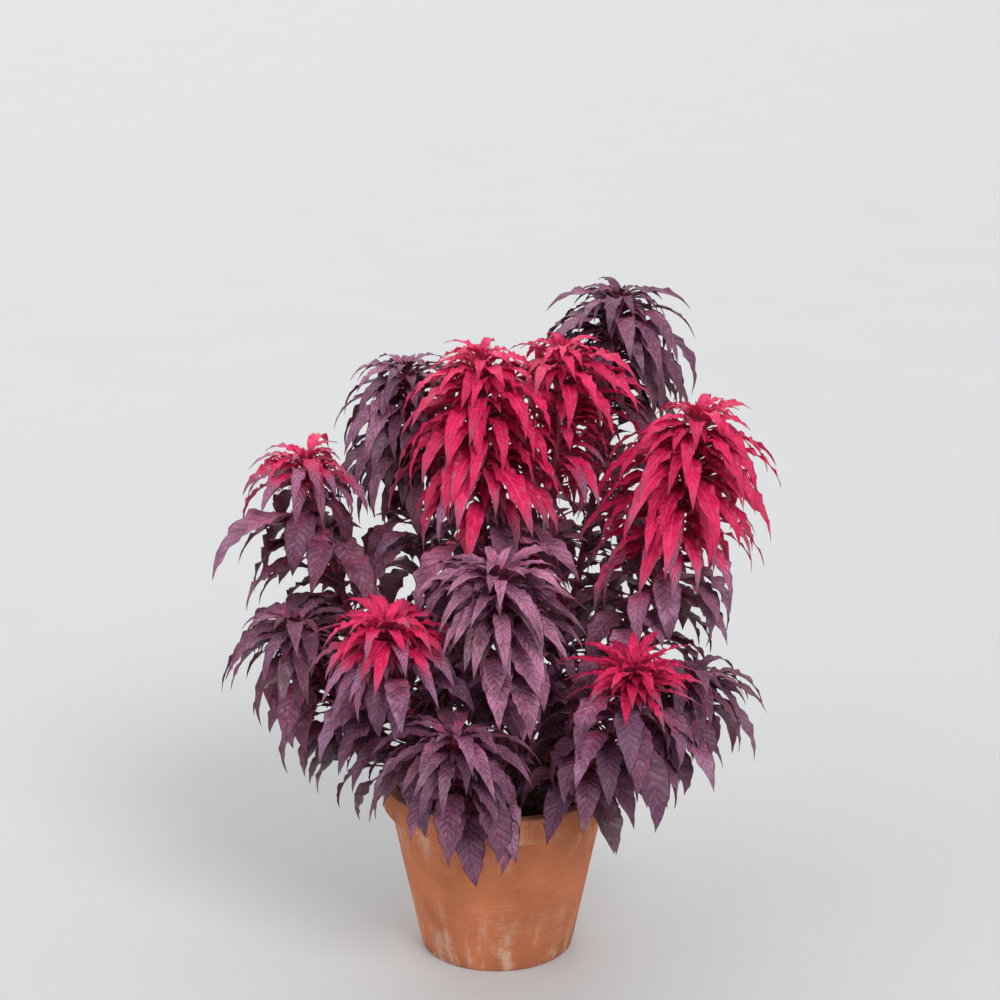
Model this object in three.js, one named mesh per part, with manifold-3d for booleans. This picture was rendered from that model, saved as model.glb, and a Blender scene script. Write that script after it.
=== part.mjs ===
// Joseph's coat amaranth in a plain clay pot: thirteen leafy stems stand in potting soil. Each stem carries
// arching leaves all the way up, plum-purple below and, on most stems, a fountain of crimson leaves on top.
// Units are millimetres and +Z is up. The origin is the centre of the pot's underside, and -Y is the front.
import * as THREE from "three";
import { mergeVertices } from "three/addons/utils/BufferGeometryUtils.js";
import Module from "manifold-3d";

const wasm = await Module();
wasm.setup();

const TURN = 2 * Math.PI;
const radians = (degrees) => (degrees * Math.PI) / 180;
const mix = (a, b, share) => a + (b - a) * share;
const clamp01 = (value) => Math.min(1, Math.max(0, value));
const UP = new THREE.Vector3(0, 0, 1);

// The gap between pieces that touch, and the length under which an edge that a join leaves is closed up
const SEAT = 0.3;
const WELD = 0.004;

// The pot
const POT_HEIGHT = 285;
const RIM_RADIUS = 186;
const RIM_BAND = 42;
const RIM_STEP = 9;
const RIM_ROUNDING = 3;
const BASE_RADIUS = 124;
const POT_WALL = 11;
const POT_FLOOR = 15;
const POT_SIDES = 26;
const DRAIN_HOLES = 5;
const DRAIN_RADIUS = 7;
const DRAIN_CIRCLE = 70;
const DRAIN_SIDES = 12;

// The soil. It is level in the middle and sinks a little towards the wall.
const SOIL_BELOW_RIM = 26;
const SOIL_LEVEL = POT_HEIGHT - SOIL_BELOW_RIM;
const SOIL_CROWN = 7;
const SOIL_LEVEL_SHARE = 0.72;
const HOLE_SIDES = 8;
const HOLE_EASE = 1;
const HOLE_OVERSHOOT = 20;

// The stems. A foot is where a stem leaves the soil, from the pot's centre. A head is its tip, over the
// soil. A fountain is the length of stem at the top that carries the fountain's leaves.
const STEM_FOOT_RADIUS = 8.5;
const STEM_TIP_RADIUS = 2.6;
const STEM_SIDES = 6;
const STEM_RINGS = 6;
const FOUNTAIN_RINGS = 3;
const STEM_IN_SOIL = 60;
const STEM_BOW = 0.5;
const CRIMSON = "crimson";
const PLUM = "plum";

// Each shoot's name, foot, head, fountain, tint, numbers of leaves on its fountain and below it, the size of
// the fountain's leaves, how far they droop and the heading of the first one
const SHOOTS = [
  ["right", [92, -5], [318, -25, 632], 235, CRIMSON, 26, 16, 1, 1, 20],
  ["centre_left", [-22, 35], [-22, 40, 712], 255, CRIMSON, 26, 14, 1, 1.04, 75],
  ["centre_right", [42, 28], [104, 55, 722], 250, CRIMSON, 22, 14, 0.98, 1, 140],
  ["back_right", [60, 84], [202, 235, 775], 190, PLUM, 20, 15, 1, 1.08, 200],
  ["back_left", [-62, 80], [-148, 155, 668], 190, PLUM, 20, 13, 1, 1.12, 300],
  ["far_left", [-98, 15], [-308, 70, 536], 48, CRIMSON, 10, 20, 0.68, 0.95, 10],
  ["front_right", [76, -74], [207, -255, 292], 42, CRIMSON, 13, 12, 0.62, 0.6, 250],
  ["front_left", [-66, -70], [-166, -205, 345], 66, CRIMSON, 14, 13, 0.78, 0.86, 170],
  ["front_centre", [6, -92], [2, -165, 415], 95, PLUM, 15, 12, 0.9, 0.84, 110],
  ["low_left", [-102, -34], [-312, -95, 315], 60, PLUM, 10, 10, 0.88, 1, 60],
  ["low_back", [-4, 106], [25, 300, 345], 70, CRIMSON, 13, 11, 0.9, 0.9, 330],
  ["low_right", [103, -46], [306, -120, 235], 50, PLUM, 9, 9, 0.82, 1, 95],
  ["low_front", [-30, -100], [-62, -262, 185], 50, PLUM, 10, 8, 0.82, 0.9, 215],
].map(([name, foot, head, fountain, tint, top, low, size, droop, turn]) => {
  return { name, foot, head, fountain, tint, top, low, size, droop, turn };
});

// The leaves. Lengths are of the blade, without its petiole. Rise is a leaf's slope where it leaves the
// stem, and bend is how far it turns down from there to its tip. Slender is a blade's width as a share of
// its length.
const GOLDEN_ANGLE = 137.5;
const TUFT = { petiole: 8, length: 62, slender: 0.26, rise: 72, bend: 110 };
const TUFT_SHARE = 0.34;
const ARCH = { petiole: 28, length: 165, slender: 0.21, rise: 50, bend: 138 };
const ARCH_FIRST_RISE = 68;
const ARCH_SPACING = 1.15;
const ARCH_END = 0.96;
const LOW = { petiole: 48, length: 142, slender: 0.38, rise: 38, bend: 122 };
const LOW_FIRST = 0.35;
const LOW_FROM = 0.14;
const LOW_SIZES = [1.12, 0.86];
const SPREAD = {
  heading: 12, length: 0.14, petiole: 0.25, slender: 0.12, rise: 11, bend: 14, sway: 0.13, roll: 26,
};
const PETIOLE_BEND_SHARE = 0.22;
const PETIOLE_RADIUS = 1.6;
const BLADE_HALF_THICKNESS = 0.9;
const BLADE_FOLD = 0.24;
const WIDEST_POWER = 0.66;
const EDGE_WAVE = 0.2;
const BLADE_STATIONS = [0.26, 0.62];
const SHORT_PETIOLE = 30;

// Leaves are turned, drooped or shortened until they are clear of the other stems and their leaves. An offer
// is the turn, the change of rise and the size.
const SEED = 20261;
const CELL = 10;
const SAMPLE_STEP = 5;
const SPACE_LOW = new THREE.Vector3(-640, -560, 0);
const [CELLS_X, CELLS_Y, CELLS_Z] = [128, 112, 124];
const ROOT_FREE = 34;
const FLOOR_CLEAR = 30;
const POT_CLEAR = 9;
const SOIL_CLEAR = 6;
const OFFER_COST = 0.04;
const CROWDING_COST = 3;
const OFFERS = [
  [0, 0, 1], [14, 0, 1], [-14, 0, 1], [0, -16, 1], [28, 8, 1], [-28, 8, 1], [0, 18, 0.9], [42, -10, 0.9],
  [-42, -10, 0.9], [20, -28, 0.85], [-20, -28, 0.85], [56, 10, 0.8], [-56, 10, 0.8], [0, -36, 0.72],
  [34, 22, 0.72], [-34, 22, 0.72], [70, -18, 0.7], [-70, -18, 0.7], [95, 0, 0.8], [-95, 0, 0.8],
  [130, -10, 0.75], [-130, -10, 0.75], [180, 0, 0.7], [0, 30, 0.6], [60, 20, 0.55],
  [-60, 20, 0.55], [110, 20, 0.55], [-110, 20, 0.55], [160, 20, 0.55], [-160, 20, 0.55],
];

// Every random number comes from one seeded row, so that the plant grows the same way each time.
const DRAW_FACTOR = 16807;
const DRAW_MODULUS = 2 ** 31 - 1;
let drawState = SEED;
function draw() {
  drawState = (drawState * DRAW_FACTOR) % DRAW_MODULUS;
  return drawState / DRAW_MODULUS;
}
const around = (middle, spread) => middle + spread * (2 * draw() - 1);

// Solids for the cuts and joins
function solidFrom(points, triangles) {
  const vertProperties = new Float32Array(points.flatMap((p) => [p.x, p.y, p.z]));
  const make = (triVerts) => new wasm.Manifold(new wasm.Mesh({ numProp: 3, vertProperties, triVerts }));
  const made = make(new Uint32Array(triangles.flat()));
  return made.volume() > 0 ? made : make(new Uint32Array(triangles.map(([a, b, c]) => [a, c, b]).flat()));
}

function solidOfGeometry(geometry) {
  const bare = geometry.clone();
  bare.deleteAttribute("normal");
  bare.deleteAttribute("uv");
  const merged = mergeVertices(bare, WELD);
  return new wasm.Manifold(
    new wasm.Mesh({
      numProp: 3,
      vertProperties: merged.attributes.position.array,
      triVerts: new Uint32Array(merged.index.array),
    }),
  );
}

// Corners closer than the weld become one, and the slivers between them are dropped
function geometryOf(solid) {
  const mesh = solid.getMesh();
  const corners = Array.from({ length: mesh.numVert }, (_, i) => {
    return new THREE.Vector3().fromArray(mesh.vertProperties, i * mesh.numProp);
  });
  const welded = corners.map((_, i) => i);
  const keeper = (i) => (welded[i] === i ? i : keeper(welded[i]));
  const faces = Array.from({ length: mesh.numTri }, (_, t) => [...mesh.triVerts.subarray(3 * t, 3 * t + 3)]);
  for (const [a, b, c] of faces) {
    for (const [from, to] of [[a, b], [b, c], [c, a]]) {
      if (corners[from].distanceTo(corners[to]) < WELD) welded[keeper(from)] = keeper(to);
    }
  }
  const whole = faces.map((face) => face.map(keeper)).filter((face) => new Set(face).size === 3);
  const used = [...new Set(whole.flat())];
  const place = new Map(used.map((corner, i) => [corner, i]));
  const geometry = new THREE.BufferGeometry().setFromPoints(used.map((corner) => corners[corner]));
  geometry.setIndex(whole.flat().map((corner) => place.get(corner)));
  geometry.computeVertexNormals();
  return geometry;
}

// A closed skin over rings of equally many points, ending in a flat cap or in one tip point. Quads on the
// far half of each ring are split the other way, so that a thin blade's two faces are split alike. A ring
// may name one of its points twice, which leaves a side out.
function loft(rings, tip) {
  const sides = rings[0].length;
  const points = [...new Set(rings.flat())];
  const index = new Map(points.map((point, i) => [point, i]));
  const faces = [];
  for (let r = 0; r + 1 < rings.length; r++) {
    for (let s = 0; s < sides; s++) {
      const next = (s + 1) % sides;
      const [a, b, c, d] = [rings[r][s], rings[r][next], rings[r + 1][s], rings[r + 1][next]];
      if (s < sides / 2) faces.push([a, b, d], [a, d, c]);
      else faces.push([a, b, c], [b, d, c]);
    }
  }
  const first = rings[0];
  const last = rings[rings.length - 1];
  for (let s = 1; s + 1 < sides; s++) faces.push([first[0], first[s + 1], first[s]]);
  if (tip) {
    index.set(tip, points.push(tip) - 1);
    for (let s = 0; s < sides; s++) faces.push([last[s], last[(s + 1) % sides], tip]);
  } else {
    for (let s = 1; s + 1 < sides; s++) faces.push([last[0], last[s], last[s + 1]]);
  }
  const whole = faces.filter((face) => new Set(face).size === 3);
  return solidFrom(points, whole.map((face) => face.map((point) => index.get(point))));
}

// Stems lean out from the foot and turn upwards on the way to the head
function stemPoint(shoot, share) {
  const [footX, footY] = shoot.foot;
  const [headX, headY, headZ] = shoot.head;
  const leant = share * (1 + STEM_BOW * (1 - share));
  return new THREE.Vector3(mix(footX, headX, leant), mix(footY, headY, leant), SOIL_LEVEL + headZ * share);
}

const stemRadius = (share) => mix(STEM_FOOT_RADIUS, STEM_TIP_RADIUS, share);

// The share of a stem at which its fountain starts
function fountainStart(shoot) {
  return 1 - shoot.fountain / shoot.head[2];
}

function stemRing(centre, radius) {
  return Array.from({ length: STEM_SIDES }, (_, s) => {
    const angle = (TURN * s) / STEM_SIDES;
    return new THREE.Vector3(radius * Math.cos(angle), radius * Math.sin(angle), 0).add(centre);
  });
}

function stemPiece(shoot, from, to, rings) {
  return Array.from({ length: rings }, (_, r) => {
    const share = mix(from, to, r / (rings - 1));
    return stemRing(stemPoint(shoot, share), stemRadius(share));
  });
}

// Leaves: a petiole and a blade, each a circular arc in the upright plane that the leaf points in
function arcStep(length, from, bend) {
  const to = from - bend;
  return {
    out: (length / bend) * (Math.sin(from) - Math.sin(to)),
    up: (length / bend) * (Math.cos(to) - Math.cos(from)),
  };
}

// A point of the leaf's midrib, with the tangent, the side and the upper face's normal there. share runs
// from -1 at the petiole's root, through 0 at the foot of the blade, to 1 at the tip.
function leafFrame(leaf, share) {
  const out = new THREE.Vector3(Math.cos(leaf.heading), Math.sin(leaf.heading), 0);
  const side = new THREE.Vector3(-out.y, out.x, 0);
  const petioleBend = leaf.bend * PETIOLE_BEND_SHARE;
  const bladeBend = leaf.bend - petioleBend;
  const petioleShare = clamp01(share + 1);
  const bladeShare = clamp01(share);
  const slope = leaf.rise - petioleBend * petioleShare - bladeBend * bladeShare;
  const centre = leaf.root.clone();
  if (petioleShare > 0) {
    const step = arcStep(leaf.petiole * petioleShare, leaf.rise, petioleBend * petioleShare);
    centre.addScaledVector(out, step.out).addScaledVector(UP, step.up);
  }
  if (bladeShare > 0) {
    const step = arcStep(leaf.length * bladeShare, leaf.rise - petioleBend, bladeBend * bladeShare);
    centre.addScaledVector(out, step.out).addScaledVector(UP, step.up);
    centre.addScaledVector(side, leaf.sway * leaf.length * bladeShare * bladeShare);
  }
  const normal = out.clone().multiplyScalar(-Math.sin(slope)).addScaledVector(UP, Math.cos(slope));
  const roll = leaf.roll * bladeShare;
  const rolledSide = side.clone().multiplyScalar(Math.cos(roll)).addScaledVector(normal, Math.sin(roll));
  const rolledNormal = normal.clone().multiplyScalar(Math.cos(roll)).addScaledVector(side, -Math.sin(roll));
  return { centre, side: rolledSide, normal: rolledNormal };
}

function halfWidth(leaf, share) {
  const blade = share > 0 ? Math.sin(Math.PI * Math.pow(share, WIDEST_POWER)) : 0;
  return Math.max(PETIOLE_RADIUS, (leaf.width / 2) * blade);
}

// The pot's inner radius at a height
function potInside(height) {
  return mix(BASE_RADIUS - POT_WALL, RIM_RADIUS - RIM_STEP - POT_WALL, height / POT_HEIGHT);
}

// Leaves keep clear of the pot, of its soil and of the floor
function isBlocked(point) {
  const radius = Math.hypot(point.x, point.y);
  const wall = mix(BASE_RADIUS, RIM_RADIUS, clamp01(point.z / (POT_HEIGHT - RIM_BAND)));
  const aboveSoil = point.z > SOIL_LEVEL + SOIL_CLEAR && radius < potInside(POT_HEIGHT) - POT_CLEAR;
  const inPot = point.z < POT_HEIGHT + POT_CLEAR && radius < wall + POT_CLEAR;
  return point.z < FLOOR_CLEAR || (inPot && !aboveSoil);
}

// Cells of space that are taken, with a bit for each node that takes one
const takers = new Uint32Array(CELLS_X * CELLS_Y * CELLS_Z);

function cellsOf(point) {
  return ["x", "y", "z"].map((axis) => Math.floor((point[axis] - SPACE_LOW[axis]) / CELL));
}

const cellIndex = (x, y, z) => (x * CELLS_Y + y) * CELLS_Z + z;

function take(point, node) {
  const [x, y, z] = cellsOf(point);
  for (let i = x - 1; i <= x + 1; i++) {
    for (let j = y - 1; j <= y + 1; j++) {
      for (let k = z - 1; k <= z + 1; k++) takers[cellIndex(i, j, k)] |= node.bit;
    }
  }
}

// Points all over a leaf, a sample step apart, each with its distance from the root. The edges are sampled
// where their waves may reach, above and below.
function leafSamples(leaf) {
  const samples = [];
  const petioleSteps = Math.ceil(leaf.petiole / SAMPLE_STEP);
  for (let i = 0; i < petioleSteps; i++) {
    samples.push([leafFrame(leaf, i / petioleSteps - 1).centre, (leaf.petiole * i) / petioleSteps]);
  }
  const bladeSteps = Math.ceil(leaf.length / SAMPLE_STEP);
  for (let i = 0; i <= bladeSteps; i++) {
    const share = i / bladeSteps;
    const { centre, side, normal } = leafFrame(leaf, share);
    const half = halfWidth(leaf, share);
    const across = Math.ceil((2 * half) / SAMPLE_STEP);
    for (let j = 0; j <= across; j++) {
      const offset = half * ((2 * j) / across - 1);
      const waves = j === 0 || j === across ? [-half * EDGE_WAVE, half * EDGE_WAVE] : [0];
      for (const wave of waves) {
        const raised = Math.abs(offset) * BLADE_FOLD + wave;
        const point = centre.clone().addScaledVector(side, offset).addScaledVector(normal, raised);
        samples.push([point, leaf.petiole + leaf.length * share]);
      }
    }
  }
  return samples;
}

// The share of the leaf's samples that lie among its own node's leaves, or null if it would cross anything
// else. Near its root a leaf may lie close to the other node of its own stem.
function crowding(samples, node) {
  let own = 0;
  for (const [point, fromRoot] of samples) {
    if (isBlocked(point)) return null;
    const here = takers[cellIndex(...cellsOf(point))];
    const allowed = fromRoot > ROOT_FREE ? node.bit : node.bit | node.partner;
    if (here & ~allowed) return null;
    if (fromRoot > ROOT_FREE && here & node.bit) own += 1;
  }
  return own / samples.length;
}

// Adds a leaf in the offered position that is least crowded and nearest its wanted one, or leaves it out
// where none is clear
function growLeaf(node, wanted) {
  let best = null;
  OFFERS.forEach(([turned, drooped, size], number) => {
    const worst = best ? best.cost : Infinity;
    if (number * OFFER_COST >= worst) return;
    const leaf = {
      ...wanted,
      heading: wanted.heading + radians(turned),
      rise: wanted.rise + radians(drooped),
      petiole: wanted.petiole * size,
      length: wanted.length * size,
      width: wanted.width * mix(1, size, 0.5),
    };
    const samples = leafSamples(leaf);
    const crowded = crowding(samples, node);
    if (crowded === null) return;
    const cost = crowded * CROWDING_COST + number * OFFER_COST;
    if (cost < worst) best = { leaf, samples, cost };
  });
  if (!best) return;
  node.leaves.push(best.leaf);
  for (const [point] of best.samples) take(point, node);
}

function leafFrom(shoot, share, form, number, size) {
  const heading = radians(shoot.turn + GOLDEN_ANGLE * number + around(0, SPREAD.heading));
  const length = around(form.length, form.length * SPREAD.length) * size;
  return {
    root: stemPoint(shoot, share),
    heading,
    length,
    petiole: around(form.petiole, form.petiole * SPREAD.petiole),
    width: length * around(form.slender, form.slender * SPREAD.slender),
    rise: radians(around(form.rise, SPREAD.rise)),
    bend: radians(around(form.bend, SPREAD.bend)),
    sway: around(0, SPREAD.sway),
    roll: radians(around(0, SPREAD.roll)),
  };
}

// The fountain: a tuft of short upright leaves at the tip, then longer ones that arch over
function growFountain({ shoot, fountain }) {
  for (let i = 0; i < shoot.top; i++) {
    const down = (i + 0.5) / shoot.top;
    const grown = clamp01(down / TUFT_SHARE);
    const form = {};
    for (const key of ["petiole", "length", "slender", "bend"]) form[key] = mix(TUFT[key], ARCH[key], grown);
    form.rise = mix(TUFT.rise, mix(ARCH_FIRST_RISE, ARCH.rise, down), grown);
    form.bend *= shoot.droop;
    const share = mix(1, fountainStart(shoot), ARCH_END * Math.pow(down, ARCH_SPACING));
    growLeaf(fountain, leafFrom(shoot, share, form, i, shoot.size));
  }
}

// The lower leaves, spaced evenly from under the fountain to just above the soil
function growLowLeaves({ shoot, stem }) {
  for (let i = 0; i < shoot.low; i++) {
    const down = (i + LOW_FIRST) / shoot.low;
    const share = mix(fountainStart(shoot), LOW_FROM, down);
    growLeaf(stem, leafFrom(shoot, share, LOW, i + shoot.top, mix(...LOW_SIZES, down)));
  }
}

// A ring of a leaf's solid. The petiole has three sides, and the blade is a thin lens, folded along its
// midrib, with waved edges.
function leafRing(leaf, share, wave) {
  const { centre, side, normal } = leafFrame(leaf, share);
  const place = (across, up) => centre.clone().addScaledVector(side, across).addScaledVector(normal, up);
  if (share <= 0) {
    const left = place(-PETIOLE_RADIUS, PETIOLE_RADIUS / 2);
    return [left, place(0, -PETIOLE_RADIUS), place(PETIOLE_RADIUS, PETIOLE_RADIUS / 2), left];
  }
  const half = halfWidth(leaf, share);
  const raise = half * BLADE_FOLD;
  return [
    place(-half, raise + wave),
    place(0, -BLADE_HALF_THICKNESS),
    place(half, raise - wave),
    place(0, BLADE_HALF_THICKNESS),
  ];
}

// A long petiole ends at the foot of the blade, and a short one widens straight into the blade
function leafSolid(leaf) {
  const rings = [leafRing(leaf, -1, 0)];
  if (leaf.petiole > SHORT_PETIOLE) rings.push(leafRing(leaf, 0, 0));
  BLADE_STATIONS.forEach((share, i) => {
    const wave = halfWidth(leaf, share) * EDGE_WAVE * (i % 2 ? -1 : 1);
    rings.push(leafRing(leaf, share, wave));
  });
  return loft(rings, leafFrame(leaf, 1).centre);
}

// Nodes
const MATERIALS = {
  clay: new THREE.MeshStandardMaterial({ color: 0xb5653f, roughness: 0.85, metalness: 0 }),
  soil: new THREE.MeshStandardMaterial({ color: 0x2e211a, roughness: 1, metalness: 0 }),
  crimson: new THREE.MeshStandardMaterial({ color: 0xc81e4c, roughness: 0.5, metalness: 0 }),
  plum: new THREE.MeshStandardMaterial({ color: 0x7a4262, roughness: 0.5, metalness: 0 }),
};
const root = new THREE.Group();

function addNode(name, solid, material) {
  const mesh = new THREE.Mesh(geometryOf(solid), material);
  mesh.name = name;
  root.add(mesh);
}

// Loose scraps that a join leaves are dropped
function largestBody(solid) {
  return solid.decompose().reduce((a, b) => (a.volume() > b.volume() ? a : b));
}

function turned(profile) {
  const points = profile.map(([radius, height]) => new THREE.Vector2(radius, height));
  return solidOfGeometry(new THREE.LatheGeometry(points, POT_SIDES).rotateX(Math.PI / 2));
}

// An upright rod from one height to another, to be cut away
function rod(x, y, from, to, radius, sides) {
  const geometry = new THREE.CylinderGeometry(radius, radius, to - from, sides).rotateX(Math.PI / 2);
  return solidOfGeometry(geometry.translate(x, y, (from + to) / 2));
}

function potSolid() {
  const bandFoot = POT_HEIGHT - RIM_BAND;
  let pot = turned([
    [0, 0],
    [BASE_RADIUS, 0],
    [RIM_RADIUS - RIM_STEP - RIM_ROUNDING, bandFoot],
    [RIM_RADIUS, bandFoot],
    [RIM_RADIUS, POT_HEIGHT - RIM_ROUNDING],
    [RIM_RADIUS - RIM_ROUNDING, POT_HEIGHT],
    [potInside(POT_HEIGHT) + RIM_ROUNDING, POT_HEIGHT],
    [potInside(POT_HEIGHT - RIM_ROUNDING), POT_HEIGHT - RIM_ROUNDING],
    [potInside(POT_FLOOR), POT_FLOOR],
    [0, POT_FLOOR],
  ]);
  for (let i = 0; i < DRAIN_HOLES; i++) {
    const angle = (TURN * i) / DRAIN_HOLES;
    const [x, y] = [DRAIN_CIRCLE * Math.cos(angle), DRAIN_CIRCLE * Math.sin(angle)];
    pot = pot.subtract(rod(x, y, -POT_FLOOR, 2 * POT_FLOOR, DRAIN_RADIUS, DRAIN_SIDES));
  }
  return pot;
}

function soilSolid() {
  let soil = turned([
    [0, POT_FLOOR + SEAT],
    [potInside(POT_FLOOR) - 2 * SEAT, POT_FLOOR + SEAT],
    [potInside(SOIL_LEVEL - SOIL_CROWN) - 2 * SEAT, SOIL_LEVEL - SOIL_CROWN],
    [potInside(SOIL_LEVEL) * SOIL_LEVEL_SHARE, SOIL_LEVEL],
    [0, SOIL_LEVEL],
  ]);
  const holeFloor = SOIL_LEVEL - STEM_IN_SOIL - SEAT;
  const holeTop = SOIL_LEVEL + HOLE_OVERSHOOT;
  for (const { foot } of SHOOTS) {
    soil = soil.subtract(rod(...foot, holeFloor, holeTop, STEM_FOOT_RADIUS + HOLE_EASE, HOLE_SIDES));
  }
  return soil;
}

// Each stem is two nodes: the fountain on top, and the stem below it with the lower leaves
const plants = SHOOTS.map((shoot, i) => {
  const [stemBit, fountainBit] = [1 << (2 * i), 1 << (2 * i + 1)];
  return {
    shoot,
    stem: { name: `${shoot.name}_stem`, bit: stemBit, partner: fountainBit, leaves: [] },
    fountain: { name: `${shoot.name}_fountain`, bit: fountainBit, partner: stemBit, leaves: [] },
  };
});

// Stems take their cells first, then all fountains grow, then all lower leaves
for (const { shoot, stem, fountain } of plants) {
  const steps = Math.ceil(shoot.head[2] / SAMPLE_STEP);
  for (let i = 0; i <= steps; i++) {
    const share = i / steps;
    take(stemPoint(shoot, share), share < fountainStart(shoot) ? stem : fountain);
  }
}
plants.forEach(growFountain);
plants.forEach(growLowLeaves);

addNode("pot", potSolid(), MATERIALS.clay);
addNode("soil", soilSolid(), MATERIALS.soil);
for (const { shoot, stem, fountain } of plants) {
  const start = fountainStart(shoot);
  const gap = SEAT / shoot.head[2];
  const sunk = stemRing(stemPoint(shoot, 0).setZ(SOIL_LEVEL - STEM_IN_SOIL), STEM_FOOT_RADIUS);
  const lower = loft([sunk, ...stemPiece(shoot, 0, start - gap, STEM_RINGS)]);
  const upper = loft(stemPiece(shoot, start + gap, 1, FOUNTAIN_RINGS));
  const joined = (piece, leaves) => largestBody(wasm.Manifold.union([piece, ...leaves.map(leafSolid)]));
  addNode(stem.name, joined(lower, stem.leaves), MATERIALS.plum);
  addNode(fountain.name, joined(upper, fountain.leaves), MATERIALS[shoot.tint]);
}

export default root;
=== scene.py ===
"""Joseph's coat amaranth in a plain clay pot.

Thirteen leafy stems stand in potting soil. The leaves are placed by the same seeded rule as the leaves of the
frame's solids, so each fine leaf lies where a plain one does, and smaller leaves then fill in between them.
The plant's rule works in millimetres, and the finished meshes are in metres.
"""

import functools
import math

import bpy
import numpy as np
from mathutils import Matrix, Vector, noise


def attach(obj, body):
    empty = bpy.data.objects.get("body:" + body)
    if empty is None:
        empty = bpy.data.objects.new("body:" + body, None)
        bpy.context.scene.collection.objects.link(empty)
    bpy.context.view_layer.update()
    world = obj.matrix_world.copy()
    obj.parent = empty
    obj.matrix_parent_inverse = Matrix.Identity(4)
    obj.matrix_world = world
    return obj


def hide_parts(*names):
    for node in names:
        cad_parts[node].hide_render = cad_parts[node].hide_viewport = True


bl_info = {
    "name": "Potted amaranth",
    "version": (1, 0, 0),
    "blender": (4, 5, 0),
    "location": "3D View > Sidebar > Amaranth",
    "description": "Models the leaves, stems, pot and soil of a potted amaranth",
    "category": "Object",
}

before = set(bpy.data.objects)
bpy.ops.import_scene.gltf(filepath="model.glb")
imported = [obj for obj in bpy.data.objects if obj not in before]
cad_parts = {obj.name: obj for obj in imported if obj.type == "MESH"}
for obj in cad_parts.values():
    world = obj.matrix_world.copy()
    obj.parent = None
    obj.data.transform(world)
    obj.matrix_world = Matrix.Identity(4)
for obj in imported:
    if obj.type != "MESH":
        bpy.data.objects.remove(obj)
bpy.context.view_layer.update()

MM = 0.001
BODY = "root"

# The pot, with the waves that bring its wall a little out of true
POT_HEIGHT, RIM_RADIUS, RIM_BAND, RIM_STEP, RIM_ROUNDING = 285, 186, 42, 9, 3
BASE_RADIUS, POT_WALL, POT_FLOOR, POT_SIDES = 124, 11, 15, 112
FOOT_ROUNDING, BAND_ROUNDING, LIP_ROUNDING, NECK_STEP = 4, 2.6, 3.2, 0.8
OUTER_WALL_ROWS, INNER_WALL_ROWS = 10, (240, 160, 80)
DRAIN_HOLES, DRAIN_RADIUS, DRAIN_CIRCLE, DRAIN_SIDES, DRILL_LENGTH = 5, 7, 70, 24, 60
OVAL_WAVE, THREE_SIDED_WAVE, SHARP_POT_EDGE = 0.7, 0.4, math.radians(38)

# The soil: its level, and its lumps by how many there are to a metre, height and place in the noise
SOIL_LEVEL, SOIL_CROWN, SOIL_LEVEL_SHARE, SOIL_EDGE, SEAT = 259, 7, 0.72, 2, 0.3
SOIL_SIDES, SOIL_RINGS, SOIL_SEED = 120, 34, 811
LUMPS = ((26, 0.5, 0.3), (70, 0.6, 0.8), (190, 0.35, 1.9))
CRUMB_SUNK, CRUMB_WALL_CLEAR, CRUMB_SIZE_POWER, CRUMB_UNEVENNESS, CRUMB_NARROWED = 0.25, 5, 2.2, 1.7, 0.4
SOIL_PATCHES, CRUMB_PATCHES, OTHER_GRIT = 60.0, 150.0, (0.42, 0.38, 0.31)

# The stems' sizes, their ridges and the swelling at each leaf
STEM_FOOT_RADIUS, STEM_TIP_RADIUS, STEM_IN_SOIL, STEM_BOW = 8.5, 2.6, 60, 0.5
STEM_SIDES, STEM_RINGS, STEM_RIDGES, STEM_NODE_REACH, STEM_BURIED_SHARE = 18, 78, 6, 4.5, 0.04
STEM_TAPER_FROM, STEM_TAPER, RIDGES_FADE_OVER = 0.975, 0.7, 0.125

# Each stem's name, foot and head from the soil, length of fountain, tint, leaves on the fountain and
# below it, size of the fountain's leaves, how far they droop and the heading of the first
SHOOT_KEYS = ("name", "foot", "head", "fountain", "tint", "top", "low", "size", "droop", "turn")
SHOOTS = [
    ("right", (92, -5), (318, -25, 632), 235, "crimson", 26, 16, 1, 1, 20),
    ("centre_left", (-22, 35), (-22, 40, 712), 255, "crimson", 26, 14, 1, 1.04, 75),
    ("centre_right", (42, 28), (104, 55, 722), 250, "crimson", 22, 14, 0.98, 1, 140),
    ("back_right", (60, 84), (202, 235, 775), 190, "plum", 20, 15, 1, 1.08, 200),
    ("back_left", (-62, 80), (-148, 155, 668), 190, "plum", 20, 13, 1, 1.12, 300),
    ("far_left", (-98, 15), (-308, 70, 536), 48, "crimson", 10, 20, 0.68, 0.95, 10),
    ("front_right", (76, -74), (207, -255, 292), 42, "crimson", 13, 12, 0.62, 0.6, 250),
    ("front_left", (-66, -70), (-166, -205, 345), 66, "crimson", 14, 13, 0.78, 0.86, 170),
    ("front_centre", (6, -92), (2, -165, 415), 95, "plum", 15, 12, 0.9, 0.84, 110),
    ("low_left", (-102, -34), (-312, -95, 315), 60, "plum", 10, 10, 0.88, 1, 60),
    ("low_back", (-4, 106), (25, 300, 345), 70, "crimson", 13, 11, 0.9, 0.9, 330),
    ("low_right", (103, -46), (306, -120, 235), 50, "plum", 9, 9, 0.82, 1, 95),
    ("low_front", (-30, -100), (-62, -262, 185), 50, "plum", 10, 8, 0.82, 0.9, 215),
]

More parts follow.
